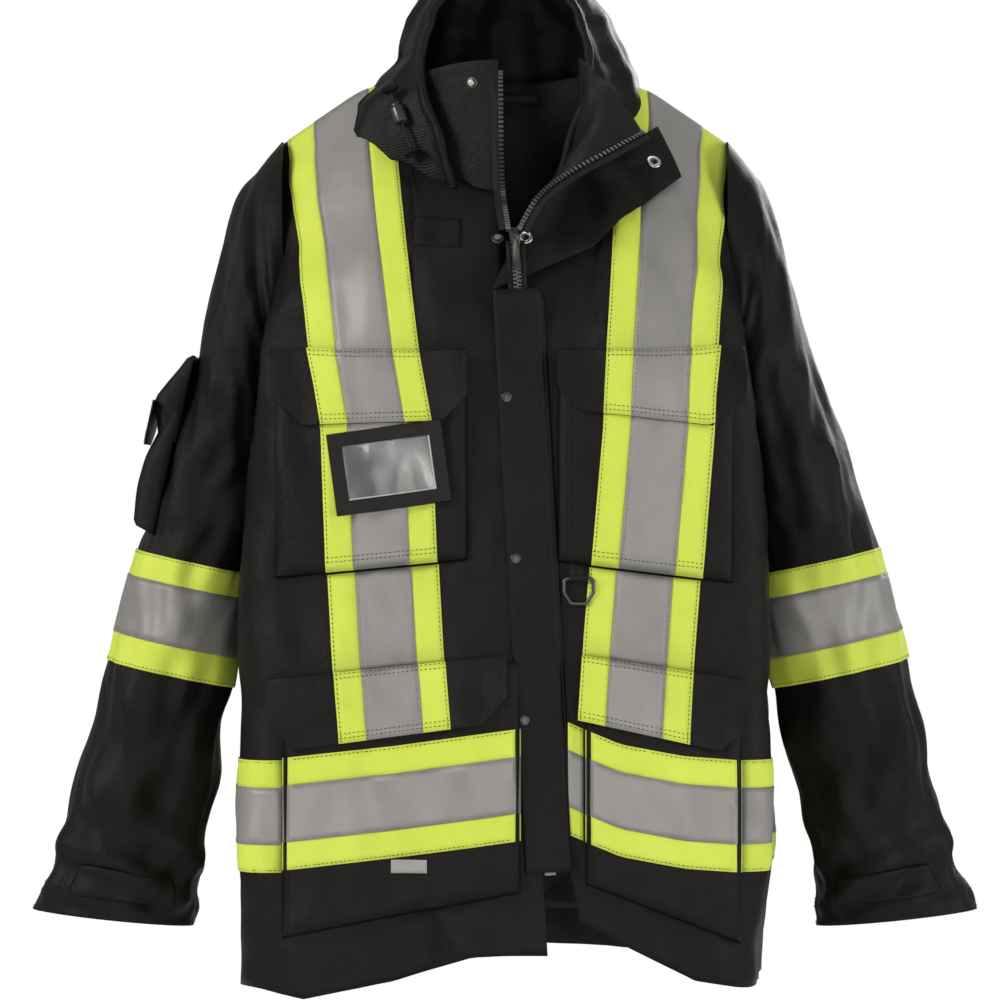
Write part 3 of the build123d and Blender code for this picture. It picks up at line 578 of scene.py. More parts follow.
def frontStart(side, r):
    edge = closureX(r) * side + closure["gap"]
    if side > 0 and r < closure["parts"]:
        edge += 0.012 * ease(closure["parts"], coat["hem"], r)
    if side > 0:
        while edge < 0.16:
            t = (levelAt(-1, edge, r) - crease[0][1]) / (crease[1][1] - crease[0][1])
            if t <= 0 or edge >= crease[0][0] + (crease[1][0] - crease[0][0]) * t:
                break
            edge += 0.001
    return edge


def bodyPanels():
    for name, side in (("right", -1), ("left", 1)):
        rows = [shellRow(-1, side, r, frontStart(side, r)) for r in rowHeights]
        bm = gridMesh(rows, drop=inArmhole)
        foldShell(bm)
        made = finishMesh(name + "Front", bm, canvas)
        thicken(made, coat["cloth"])
        settle(made, "coat", "shell", [name + "_front_panel"])
        rows = [shellRow(-1, side, r, frontStart(side, r) + 0.006) for r in rowHeights[5:]]
        bm = gridMesh(rows, drop=inArmhole)
        foldShell(bm)
        for v in bm.verts:
            v.co -= v.normal * 0.0062
        made = finishMesh(name + "FrontLining", bm, quilt)
        thicken(made, 0.0012)
        settle(made, "coat", "lining", ["front_linings"] if side > 0 else ())
    rows = []
    for r in rowHeights:
        right = shellRow(1, -1, r, 0.0)
        left = shellRow(1, 1, r, 0.0)
        rows.append(right[::-1] + left[1:])
    bm = gridMesh(rows, drop=inArmhole)
    foldShell(bm)
    made = finishMesh("backPanel", bm, canvas)
    thicken(made, coat["cloth"])
    settle(made, "coat", "shell", ["back_panel"])
    bm = gridMesh(rows[5:], drop=inArmhole)
    foldShell(bm)
    for v in bm.verts:
        v.co -= v.normal * 0.0062
    made = finishMesh("backLining", bm, quilt)
    thicken(made, 0.0012)
    settle(made, "coat", "lining", ["back_lining"])


bodyPanels()
print("body panels and lining")


# tape
tape = {"lime": 0.050, "silver": 0.0252, "thick": 0.0005, "step": 0.007}
tapeCentre = {
    -1: [(-0.60, -0.0985), (-0.513, -0.1055), (-0.427, -0.111), (-0.31, -0.1155), (-0.245, -0.127),
         (-0.11, -0.144),
         (-0.03, -0.152), (0.05, -0.156)],
    1: [(-0.60, 0.1150), (-0.513, 0.1205), (-0.427, 0.1275), (-0.31, 0.138), (-0.245, 0.141), (-0.11, 0.150),
        (-0.03, 0.158), (0.05, 0.162)],
}


def strip(name, place, length, spans, n, material, body, slot, replaces=(), thick=None):
    made = bmesh.new()
    made.loops.layers.uv.new("cut")
    steps = max(2, int(length / tape["step"]))
    parts = []
    for low, high in spans:
        cells = max(2, int(abs(high - low) / 0.006))
        rows = [[place(j / steps, low + (high - low) * i / cells, n) for i in range(cells + 1)]
                for j in range(steps + 1)]
        bm = gridMesh(rows)
        parts.append(bm)
    data = bpy.data.meshes.new("part")
    for bm in parts:
        bm.to_mesh(data)
        made.from_mesh(data)
        bm.free()
    bpy.data.meshes.remove(data)
    out = finishMesh(name, made, material)
    thicken(out, thick or tape["thick"], 1.0)
    settle(out, body, slot, replaces)
    return out


def fullTape(name, place, length, body, slots, replaces=((), ()), n=0.0008, seams=True):
    a, b = tape["lime"], tape["silver"]
    strip(name + "Lime", place, length, ((-a, -b + 0.002), (b - 0.002, a)), n, lime, body, slots[0],
          replaces[0])
    strip(name + "Silver", place, length, ((-b, b),), n + 0.0005, silver, body, slots[1], replaces[1])
    if seams:
        for across, lift, kind in ((-b + 0.0018, 0.0011, "grey"), (b - 0.0018, 0.0011, "grey"),
                                   (-a + 0.0022, 0.0006, "black"), (a - 0.0022, 0.0006, "black")):
            count = max(3, int(length / 0.010))
            points = [place(j / count, across, n + lift) for j in range(count + 1)]
            normals = [(place(j / count, across, n + 0.006) - p).normalized() for j, p in enumerate(points)]
            sew(points, normals, body if isinstance(body, str) else body[0], kind)


def crossStitch(place, t, n, body, gap=0.004):
    for shift in (0.0, gap):
        points = [place(t, -tape["lime"] + 0.1 * i / 14, n) for i in range(15)]
        normals = [(place(t, -tape["lime"] + 0.1 * i / 14, n + 0.005) - p).normalized() for i,
                   p in enumerate(points)]
        points = [p + Vector((0, 0, shift)) for p in points]
        sew(points, normals, body, "black")


# pockets and flaps; outlines are in x and z on the front
lean = math.atan(coat["lean"])
pocketCloth = {
    "rightChest": {"side": -1, "inner": -0.034, "outer": -0.206, "top": -0.247, "bottomIn": -0.432,
                   "bottomOut": -0.449, "rise": 0.0},
    "leftChest": {"side": 1, "inner": 0.047, "outer": 0.205, "top": -0.247, "bottomIn": -0.434,
                  "bottomOut": -0.453, "rise": 0.0},
    "rightHip": {"side": -1, "inner": 0.014, "outer": -0.199, "top": -0.545, "bottomIn": -0.730,
                 "bottomOut": -0.770, "rise": 0.022},
    "leftHip": {"side": 1, "inner": 0.072, "outer": 0.212, "top": -0.545, "bottomIn": -0.722,
                "bottomOut": -0.776, "rise": 0.022},
}
flapCloth = {
    "rightChest": {"body": "right_chest_lid", "inner": -0.034, "outer": -0.206, "top": -0.2435, "high": 0.066,
                   "clips": (0.022, 0.024), "slant": 0.006},
    "leftChest": {"body": "left_chest_lid", "inner": 0.046, "outer": 0.208, "top": -0.2435, "high": 0.062,
                  "clips": (0.022, 0.022), "slant": 0.018},
    "rightHip": {"body": "right_hip_lid", "inner": 0.002, "outer": -0.212, "top": -0.539, "high": 0.063,
                 "clips": (0.022, 0.024), "slant": 0.006},
    "leftHip": {"body": "left_hip_lid", "inner": 0.067, "outer": 0.214, "top": -0.539, "high": 0.064,
                "clips": (0.0, 0.022), "slant": 0.010},
}


def riseAt(spec, x, rise):
    return rise * (spec["outer"] - x) / (spec["outer"] - spec["inner"])


def bottomAt(spec, x):
    t = (x - spec["inner"]) / (spec["outer"] - spec["inner"])
    return spec["bottomIn"] + (spec["bottomOut"] - spec["bottomIn"]) * t


def pocketFill(spec, deep, x, z):
    width = abs(spec["outer"] - spec["inner"])
    inX = min(abs(x - spec["inner"]), abs(spec["outer"] - x))
    inZ = z - bottomAt(spec, x)
    puff = 0.0034 * math.sin(math.pi / 2 * min(1.0, inX / width * 2)) * math.sin(math.pi * min(1.0,
    max(0.0, inZ / 0.2)))
    return deep + puff + noise.noise(Vector((x * 17, 3.0, z * 14))) * 0.0022


def pocketHeight(spec, deep, x, z):
    inX = max(0.0, min((x - spec["inner"]) * (spec["outer"] - x) / abs(spec["outer"] - spec["inner"]), 0.009))
    inZ = max(0.0, min(z - bottomAt(spec, x), 0.009))
    side = math.sqrt(inX / 0.009 * (2 - inX / 0.009))
    base = math.sqrt(inZ / 0.009 * (2 - inZ / 0.009))
    return max(0.0006, pocketFill(spec, deep, x, z) * min(side, base))


def pocketPoint(spec, deep, x, z, n=0.0):
    high = pocketHeight(spec, deep, x, z)
    near = skin(-1, x, z, high + n)
    return near


pocketDeep = {"est": 0.0095, "Hip": 0.0115}    # keyed by the last letters of Chest and Hip


def gatherSteps(low, high, edge, count):
    inner = [low + (high - low) * (0.5 - 0.5 * math.cos(math.pi * i / count)) for i in range(count + 1)]
    ends = [low, low + edge * 0.12, low + edge * 0.4, low + edge] if high > low else [low,
    low - edge * 0.12, low - edge * 0.4, low - edge]
    far = [high, high - edge * 0.12, high - edge * 0.4, high - edge] if high > low else [high,
    high + edge * 0.12, high + edge * 0.4, high + edge]
    middle = [v for v in inner if abs(v - low) > edge * 1.2 and abs(v - high) > edge * 1.2]
    return sorted(ends + middle + far, reverse=high < low)


def makePocket(name, spec, deep, node):
    xs = gatherSteps(spec["inner"], spec["outer"], 0.009, 26)
    count = 30
    rows = []
    ts = [0.0, 0.012, 0.04] + [0.07 + 0.93 * i / count for i in range(count + 1)]
    for t in ts:
        row = []
        for x in xs:
            low, high = bottomAt(spec, x), spec["top"] + riseAt(spec, x, spec["rise"])
            z = low + (high - low) * t
            row.append(pocketPoint(spec, deep, x, z))
        rows.append(row)
    bm = gridMesh(rows)
    made = finishMesh(name + "Pocket", bm, canvas)
    thicken(made, 0.0012)
    settle(made, "coat", "shell", [node])
    inset = 0.0035 * (1 if spec["outer"] > spec["inner"] else -1)
    for extra in (0.0, 0.0055):
        path = []
        near = inset * 3 + math.copysign(extra, inset)
        across = spec["outer"] - spec["inner"] - 2 * near
        for i in range(21):
            x = spec["inner"] + near + across * i / 20
            path.append((x, bottomAt(spec, x) + 0.012 + extra))
        points = [pocketPoint(spec, deep, x, z, 0.0004) for x, z in path]
        normals = [(pocketPoint(spec, deep, x, z, 0.004) - p).normalized() for (x, z), p in zip(path, points)]
        sew(points, normals, "coat")
        for x, z0 in ((path[0][0], path[0][1]), (path[-1][0], path[-1][1])):
            top = spec["top"] + riseAt(spec, x, spec["rise"])
            zs = [z0 + (top - z0) * i / 20 for i in range(21)]
            points = [pocketPoint(spec, deep, x, z, 0.0004) for z in zs]
            normals = [(pocketPoint(spec, deep, x, z, 0.004) - p).normalized() for z, p in zip(zs, points)]
            sew(points, normals, "coat")


def flapPoint(name, x, t, n=0.0):
    spec, pocket = flapCloth[name], pocketCloth[name]
    s = (x - spec["inner"]) / (spec["outer"] - spec["inner"])
    clipIn, clipOut = spec["clips"]
    cut = max(clipIn - abs(x - spec["inner"]), clipOut - abs(spec["outer"] - x), 0.0)
    long = spec["high"] - cut + spec["slant"] * (s - 0.5)
    z = spec["top"] + riseAt(spec, x, pocket["rise"]) - long * t
    inside = min(max(x, min(pocket["inner"], pocket["outer"]) + 0.02),
                 max(pocket["inner"], pocket["outer"]) - 0.02)
    curl = 0.0020 * t * t + noise.noise(Vector((x * 23, 7.0, z * 18))) * 0.0022 * t
    return skin(-1, x, z, pocketFill(pocket, pocketDeep[name[-3:]], inside,
                                     z) + 0.0026 + curl - 0.0016 * (1 - t) ** 8 + n)


def makeFlap(name, spec, nodes):
    xs = sorted(gatherSteps(spec["inner"], spec["outer"], 0.006, 30)
                + [spec["inner"] + math.copysign(spec["clips"][0], spec["outer"] - spec["inner"]),
                   spec["outer"] - math.copysign(spec["clips"][1], spec["outer"] - spec["inner"])],
                reverse=spec["inner"] > spec["outer"])
    rows = [[flapPoint(name, x, t) for x in xs] for t in [i / 16 for i in range(16, -1, -1)]]
    bm = gridMesh(rows)
    made = finishMesh(name + "Flap", bm, canvas)
    thicken(made, 0.0024)
    bevel = made.modifiers.new("edge", "BEVEL")
    bevel.width, bevel.segments, bevel.angle_limit = 0.0008, 2, math.radians(50)
    apply(made, bevel)
    settle(made, spec["body"], "shell", nodes)
    for inset in (0.0035, 0.0095):
        side = 1 if spec["outer"] > spec["inner"] else -1
        a, b = spec["inner"] + side * inset, spec["outer"] - side * inset
        path = [(a, t) for t in [0.05 + 0.08 * k for k in range(8)]]
        path += [(a + (b - a) * k / 24, 1 - inset / spec["high"]) for k in range(1, 24)]
        path += [(b, t) for t in [0.61 - 0.08 * k for k in range(8)]]
        points = [flapPoint(name, x, t, 0.0003) for x, t in path]
        normals = [(flapPoint(name, x, t, 0.004) - p).normalized() for (x, t), p in zip(path, points)]
        sew(points, normals, spec["body"])
    for t in (0.045, 0.10):
        points = [flapPoint(name, x, t, 0.0003) for x in xs]
        normals = [(flapPoint(name, x, t, 0.004) - p).normalized() for x, p in zip(xs, points)]
        sew(points, normals, spec["body"])


def pocketsAndFlaps():
    for sideName, side in (("right", -1), ("left", 1)):
        for kind in ("Chest", "Hip"):
            name, node = sideName + kind, f"{sideName}_{kind.lower()}"
            spec, lid = pocketCloth[name], flapCloth[name]
            makePocket(name, spec, pocketDeep[name[-3:]], node + "_pocket")
            makeFlap(name, lid, [node + "_flap"])

            def onFlap(t, across, n, lid=lid, side=side, name=name):
                x = between(tapeCentre[side], lid["top"] - lid["high"] * t) + across
                return flapPoint(name, x, 0.004 + 0.994 * t, n)
            fullTape(name + "FlapTape", onFlap, lid["high"], lid["body"], ("lime_tape", "silver_tape"),
                     ([node + "_flap_tape"], ()), n=0.0003)
            crossStitch(onFlap, 0.085, 0.0014, lid["body"])
            crossStitch(onFlap, 0.93, 0.0014, lid["body"])
        chest, hip = pocketCloth[sideName + "Chest"], pocketCloth[sideName + "Hip"]
        def yoke(t, across, n, side=side):
            x0 = between(tapeCentre[side], -0.03) + across
            ridge = coat["ridgeTop"] - drop(x0)
            z = -0.248 + (ridge - 0.0008 + 0.248) * t
            x = between(tapeCentre[side], z) + across
            if t > 0.9:
                x = x * (1 - (t - 0.9) * 10) + x0 * (t - 0.9) * 10
                z = min(z, coat["ridgeTop"] - drop(x) - 0.0008)
            return skin(-1, x, z, n)
        fullTape(sideName + "YokeTape", yoke, 0.26, "coat", ("lime_tape", "silver_tape"),
                 ([sideName + "_tape_lime"], [sideName + "_tape_silver"]))

        def onPocket(t, across, n, side=side, spec=chest):
            x = between(tapeCentre[side], -0.25 - 0.18 * t) + across
            low = bottomAt(spec, x) + 0.0012
            z = -0.252 + (low + 0.252) * t
            return pocketPoint(spec, pocketDeep["est"], x, z, n)
        fullTape(sideName + "ChestTape", onPocket, 0.19, "coat", ("lime_tape", "silver_tape"))
        crossStitch(onPocket, 0.955, 0.0020, "coat")

        def waist(t, across, n, side=side, spec=chest, hip=hip):
            x = between(tapeCentre[side], -0.45 - 0.08 * t) + across
            top = bottomAt(spec, x) - 0.001
            low = hip["top"] + riseAt(hip, x, 0.022) + 0.004
            return skin(-1, x, top + (low - top) * t, n)
        fullTape(sideName + "WaistTape", waist, 0.09, "coat", ("lime_tape", "silver_tape"))


pocketsAndFlaps()
print("pockets, flaps and upright tape")


# hip band
bandTop = {
    -1: [(-0.24, -0.611), (-0.198, -0.609), (-0.10, -0.5985), (0.014, -0.583), (0.03, -0.581)],
    1: [(0.036, -0.568), (0.065, -0.581), (0.1035, -0.597), (0.16, -0.6075), (0.2205, -0.612), (0.26, -0.611)],
}


def hipBands():
    for sideName, side in (("right", -1), ("left", 1)):
        spec = pocketCloth[sideName + "Hip"]
        a, b = spec["inner"], spec["outer"]

        def overPocket(t, across, n, side=side, a=a, b=b, spec=spec):
            x = a + (b - a) * (0.001 + 0.998 * t)
            z = between(bandTop[side], x) - 0.05 + across
            return pocketPoint(spec, pocketDeep["Hip"], x, z, n)

        def mirrored(t, across, n, place=overPocket):
            return place(t, -across, n)
        fullTape(sideName + "HipTape", mirrored if side > 0 else overPocket, abs(b - a), "coat",
                 ("lime_tape", "silver_tape"),
                 (["hip_band_lime"], ["hip_band_silver"]) if side < 0 else ((), ()))
        start = abs(b)

        def girth(t, across, n, side=side, start=start):
            z0 = -0.611 - 0.05
            z = z0 + (across if side < 0 else -across)
            half = halfAt(z)
            flat = half - coat["frontCorner"]
            total = flat + (half - coat["backCorner"]) + (coat["frontCorner"] + coat["backCorner"]) * math.pi / 2
            near, far = depths(0.2, z)
            total += far - near - coat["frontCorner"] - coat["backCorner"]
            s0 = min(start + 0.0005, flat + 0.01)
            return around(side, z, s0 + (total - s0) * t, n)
        fullTape(sideName + "SideTape", girth, 0.46, "coat", ("lime_tape", "silver_tape"))
        if side > 0:
            def inner(t, across, n):
                x = closureX(-0.60) + closure["gap"] + 0.014 + (a - closureX(-0.60) - closure["gap"] - 0.016) * t
                return skin(-1, x, between(bandTop[1], x) - 0.05 - across, n)
            fullTape("leftInnerTape", inner, 0.03, "coat", ("lime_tape", "silver_tape"))


hipBands()


def backCross():
    for side in (-1, 1):
        def place(t, across, n, side=side):
            if t < 0.22:
                k = t / 0.22
                x0 = side * 0.156 + across
                ridge = coat["ridgeTop"] - drop(x0) - 0.0008
                x = side * (0.156 - 0.006 * k) + across
                return skin(1, x, ridge + (-0.150 - ridge) * k, n)
            k = (t - 0.22) / 0.78
            x = side * (0.150 - 0.300 * k) + across * 1.06
            return skin(1, x, -0.150 - 0.452 * k, n)

        def facing(t, across, n, place=place):
            return place(t, -across, n)
        fullTape(("right" if side < 0 else "left") + "BackTape", facing, 0.68, "coat",
                 ("lime_tape", "silver_tape"),
                 (["back_cross_lime"], ["back_cross_silver"]) if side < 0 else ((), ()), n=0.0008
                 if side < 0 else 0.0020)


backCross()
print("bands and back cross")

# sleeves
sleeveShape = {
    "sections": [(0.203, -0.168, 88, 0.124, 0.060), (0.214, -0.182, 85, 0.118, 0.066),
                 (0.228, -0.200, 79, 0.103, 0.069),
                 (0.242, -0.250, 68, 0.077, 0.070), (0.255, -0.304, 44, 0.052, 0.068),
                 (0.272, -0.370, 16, 0.051, 0.065),
                 (0.290, -0.440, 12.4, 0.056, 0.063), (0.312, -0.545, 12.4, 0.060, 0.058),
                 (0.335, -0.640, 12.0, 0.063, 0.053),
                 (0.353, -0.715, 9.0, 0.069, 0.048), (0.365, -0.766, 6.0, 0.076, 0.043)],
    "y": -0.048, "around": 64, "cloth": 0.0022,
}


def sectionAt(v):
    points = sleeveShape["sections"]
    v = min(max(v, 0.0), len(points) - 1.0)
    k = min(int(v), len(points) - 2)
    t = v - k
    a, b, c, d = (points[min(max(k + j, 0), len(points) - 1)] for j in (-1, 0, 1, 2))
    return [0.5 * (2 * q + (r - p) * t + (2 * p - 5 * q + 4 * r - s) * t * t + (3 * q - p - 3 * r + s) * t ** 3)
            for p, q, r, s in zip(a, b, c, d)]


def sleeveFold(side, v, a):
    cut = ease(0.3, 2.0, v)
    end = 1 - ease(9.6, 10.0, v)
    sx = side * 3.0
    slant = noise.noise(Vector((math.cos(a) * 1.5 + sx, math.sin(a) * 1.5, v * 0.75 + math.cos(a - 0.9) * 1.3)))
    tight = noise.noise(Vector((math.cos(a) * 2.9 + sx, math.sin(a) * 2.9, v * 2.1 + math.sin(a) * 2.2)))
    elbow = math.exp(-((v - 7.6) / 1.2) ** 2) * math.sin(v * 6.3 + math.cos(a) * 2.6 + side) * 0.0030
    cuffs = math.exp(-((v - 9.0) / 0.7) ** 2) * math.sin(v * 9.0 + math.cos(a + 0.6) * 4.0) * 0.0034
    calm = 0.45 + 0.55 * abs(math.sin(a))
    return cut * end * (slant * 0.0100 + calm * (tight * 0.0070 + elbow * 1.3 + cuffs * 1.1))


def sleevePoint(side, v, a, n=0.0, rest=False):
    x, z, tilt, half, depth = sectionAt(v)
    turn = math.radians(tilt)
    across = Vector((side * math.cos(turn), 0, math.sin(turn)))
    out = n + (0.0 if rest else sleeveFold(side, v, a))
    ca, sa = math.cos(a), math.sin(a)
    p = Vector((side * x, sleeveShape["y"], z)) + across * (half + out) * ca + Vector((0, 1,
    0)) * (depth + out) * sa
    return p


def sleeveRows(side, low, high, count, n=0.0):
    steps = sleeveShape["around"]
    return [[sleevePoint(side, low + (high - low) * j / count, 2 * math.pi * i / steps, n)
             for i in range(steps)]
            for j in range(count + 1)]


def sleeveTape(side, low, high, n):
    steps = 96
    return [[sleevePoint(side, low + (high - low) * j / 8, 2 * math.pi * i / steps, n)
             for i in range(steps)] for j in range(9)]


def bandV(part):
    return 5.945 + 1.0 * part


def sewSleeve(side, v, n, body, kind="black"):
    points = [sleevePoint(side, v, 2 * math.pi * i / 90, n) for i in range(91)]
    normals = [(sleevePoint(side, v, 2 * math.pi * i / 90, n + 0.004) - p).normalized() for i,
               p in enumerate(points)]
    sew(points, normals, body, kind)


def sleeves():
    for name, side in (("right", -1), ("left", 1)):
        upper, lower = name + "_upper_sleeve", name + "_lower_sleeve"
        bm = gridMesh(sleeveRows(side, 0.0, 6.9, 84), closed=True)
        made = finishMesh(name + "UpperSleeve", bm, canvas)
        thicken(made, sleeveShape["cloth"])
        settle(made, ("coat", upper, (side * 0.196, -0.048, -0.150), (side * 0.262, -0.048, -0.235)),
               "shell", [name + "_sleeve"])
        bm = gridMesh(sleeveRows(side, 6.5, 10.0, 64, -0.0005), closed=True)
        made = finishMesh(name + "LowerSleeve", bm, canvas)
        thicken(made, sleeveShape["cloth"])
        settle(made, (upper, lower, (side * 0.309, -0.048, -0.535), (side * 0.322, -0.048, -0.600)),
               "shell", [name + "_forearm"])
        spans = (("LimeTop", 0.0, 0.265, 0.0008, lime, "lime_tape"),
                 ("Silver", 0.25, 0.75, 0.0013, silver, "silver_tape"),
                 ("LimeLow", 0.735, 1.0, 0.0008, lime, "lime_tape"))
        for part, a, b, n, material, slotName in spans:
            bm = gridMesh(sleeveTape(side, bandV(a), bandV(b), n), closed=True)
            made = finishMesh(name + "Band" + part, bm, material)
            thicken(made, 0.0005, 1.0)
            settle(made, upper, slotName, [name + "_sleeve_band"] if part == "Silver" else ())
        for part, n, kind in ((0.025, 0.0015, "black"), (0.975, 0.0015, "black"), (0.268, 0.0020, "grey"),
                              (0.732, 0.0020, "grey")):
            sewSleeve(side, bandV(part), n, upper, kind)
        for v in (9.42, 9.56, 9.90):
            sewSleeve(side, v, 0.0003, lower)
        # cuff strap: two rows of stitches hold it, the end laps forward
        spec = {"root": 3.95, "tip": 5.35, "low": 9.08, "high": 9.52}
        rows = []
        for j in range(9):
            t = j / 8
            row = []
            for i in range(29):
                s = i / 28
                edge = max(0.0, (s - 0.86) / 0.14)
                squeeze = 1 - 0.30 * edge ** 2
                v = (spec["low"] + spec["high"]) / 2 + (t - 0.5) * (spec["high"] - spec["low"]) * squeeze
                row.append(sleevePoint(side, v, spec["root"] + (spec["tip"] - spec["root"]) * s, 0.0026))
            rows.append(row)
        bm = gridMesh(rows, out=Vector((0, -1, 0)))
        made = finishMesh(name + "CuffStrap", bm, canvas)
        thicken(made, 0.0024)
        settle(made, name + "_cuff_strap", "shell", [name + "_cuff_tab"])
        for j in (1, 7):
            points = [p + (p - Vector((side * 0.355, -0.048, p.z))).normalized() * 0.0003
                      for p in rows[j][1:-1]]
            normals = [(p - Vector((side * 0.355, -0.048, p.z))).normalized() for p in points]
            sew(points, normals, name + "_cuff_strap")


sleeves()
print("sleeves")


# collar, hood, turned-out front
collarShape = {"half": 0.0872, "reach": 0.0662, "y": -0.054, "top": 0.018, "flare": 0.004, "cloth": 0.0035}


def collarPoint(a, t, n=0.0):
    # a: 0 at the back, -pi at the right front, +pi at the left front
    s = collarShape
    flare = s["flare"] * t
    x = (s["half"] + flare + n) * math.sin(a)
    y = s["y"] + (s["reach"] + flare + n) * math.cos(a)
    face = -1 if y < coat["ridgeY"] else 1
    low = -0.002
    for k in range(30):
        z = coat["ridgeTop"] - drop(x) - k * 0.004
        near, far = depths(x, z)
        low = z
        if (face < 0 and near <= y) or (face > 0 and far >= y):
            break
    low -= 0.003
    front = ease(1.9, 3.1, abs(a))
    top = s["top"] - 0.006 * math.sin(a * 3 + 1) * 0.5 + 0.004 * front
    z = low + (top - low) * t
    wave = noise.noise(Vector((x * 24, y * 24, z * 12))) * 0.0016
    return Vector((x + wave, y + wave, z))


def makeCollar():
    a0, a1 = -math.pi + 0.07, 1.98
    angles = [a0 + (a1 - a0) * i / 90 for i in range(91)]
    rows = [[collarPoint(a, t) for a in angles] for t in [i / 14 for i in range(15)]]
    bm = gridMesh(rows)
    made = finishMesh("standCollar", bm, canvas)
    thicken(made, collarShape["cloth"])
    bevel = made.modifiers.new("edge", "BEVEL")
    bevel.width, bevel.segments, bevel.angle_limit = 0.0014, 2, math.radians(50)
    apply(made, bevel)
    settle(made, "coat", "shell", ["collar"])
    for t in (0.93, 0.12):
        points = [collarPoint(a, t, 0.0004) for a in angles[1:-1]]
        normals = [(collarPoint(a, t, 0.004) - p).normalized() for a, p in zip(angles[1:-1], points)]
        sew(points, normals, "coat")


makeCollar()


def curve(points, t):
    count = len(points) - 1
    v = min(max(t, 0.0), 1.0) * count
    k = min(int(v), count - 1)
    t = v - k
    a, b, c, d = (Vector(points[min(max(k + j, 0), count)]) for j in (-1, 0, 1, 2))
    return 0.5 * (2 * b + (c - a) * t + (2 * a - 5 * b + 4 * c - d) * t * t + (3 * b - a - 3 * c + d) * t ** 3)


turned = {
    "roll": [(0.012, -0.186, -0.138), (0.036, -0.160, -0.108), (0.057, -0.130, -0.072),
             (0.066, -0.106, -0.020), (0.068, -0.094, 0.030)],
    "zip": [(0.013, -0.193, -0.136), (0.030, -0.192, -0.107), (0.057, -0.182, -0.085),
            (0.096, -0.156, -0.062), (0.127, -0.124, -0.043)],
    "flapOut": [(-0.012, -0.191), (0.030, -0.175), (0.079, -0.152), (0.120, -0.114), (0.159, -0.086)],
    "flapIn": [(0.013, -0.146), (0.036, -0.114), (0.064, -0.091), (0.101, -0.066), (0.136, -0.042)],
}


def facingPoint(t, s):
    a, b = curve(turned["roll"], t), curve(turned["zip"], t)
    p = a.lerp(b, s)
    lift = math.sin(math.pi * s) * 0.012 * (0.35 + t)
    p += Vector((-0.2, -0.75, 0.62)).normalized() * lift
    p += Vector((0, -1, 0.5)) * noise.noise(Vector((t * 5, s * 4, 2.0))) * 0.006 * math.sin(math.pi * s)
    return p


def turnedFlapPoint(t, s, n=0.0):
    # along the zipper from the slider upwards, then across to the free edge
    def flat(points):
        k = min(int(t * 4), 3)
        f = t * 4 - k
        return [points[k][j] + (points[k + 1][j] - points[k][j]) * f for j in (0, 1)]
    (xa, za), (xb, zb) = flat(turned["flapIn"]), flat(turned["flapOut"])
    x, z = xa + (xb - xa) * s, za + (zb - za) * s
    lift = 0.0105 - 0.0035 * s + 0.0030 * math.sin(math.pi * s) + noise.noise(Vector((x * 26, z * 26,
    1.0))) * 0.0022
    lift += 0.004 * ease(0.75, 1.0, t) * (1 - s)
    return skin(-1, x, z, lift + n)


def turnedOut():
    rows = [[facingPoint(j / 40, i / 20) for i in range(21)] for j in range(41)]
    bm = gridMesh(rows)
    made = finishMesh("turnedFacing", bm, facing)
    thicken(made, 0.0026)
    settle(made, "coat", "shell")
    rows = [[turnedFlapPoint(j / 44, i / 18) for i in range(19)] for j in range(45)]
    bm = gridMesh(rows)
    made = finishMesh("turnedStormFlap", bm, canvas)
    thicken(made, 0.0030)
    bevel = made.modifiers.new("edge", "BEVEL")
    bevel.width, bevel.segments, bevel.angle_limit = 0.0011, 2, math.radians(50)
    apply(made, bevel)
    settle(made, "coat", "shell", ["turned_storm_flap"])
    for s0 in (0.07, 0.93):
        points = [turnedFlapPoint(0.04 + 0.92 * i / 40, s0, 0.0004) for i in range(41)]
        normals = [(turnedFlapPoint(0.04 + 0.92 * i / 40, s0, 0.004) - p).normalized() for i,
                   p in enumerate(points)]
        sew(points, normals, "coat")
    for t0 in (0.03, 0.97):
        points = [turnedFlapPoint(t0, 0.07 + 0.86 * i / 14, 0.0004) for i in range(15)]
        normals = [(turnedFlapPoint(t0, 0.07 + 0.86 * i / 14, 0.004) - p).normalized() for i,
                   p in enumerate(points)]
        sew(points, normals, "coat")


turnedOut()

# height, right half, left half, front y, back y, half of the mouth
hoodShape = [(-0.100, 0.148, 0.128, -0.124, 0.060, 0.046), (-0.045, 0.150, 0.128, -0.128, 0.062, 0.060),
             (-0.010, 0.143, 0.132, -0.128, 0.062, 0.074), (0.014, 0.118, 0.122, -0.125, 0.061, 0.078),
             (0.036, 0.098, 0.112, -0.119, 0.058, 0.077), (0.070, 0.090, 0.096, -0.106, 0.051, 0.068),
             (0.098, 0.076, 0.078, -0.087, 0.038, 0.052), (0.118, 0.050, 0.052, -0.064, 0.020, 0.032),
             (0.128, 0.024, 0.025, -0.044, 0.002, 0.012), (0.132, 0.004, 0.004, -0.026, -0.018, 0.001)]


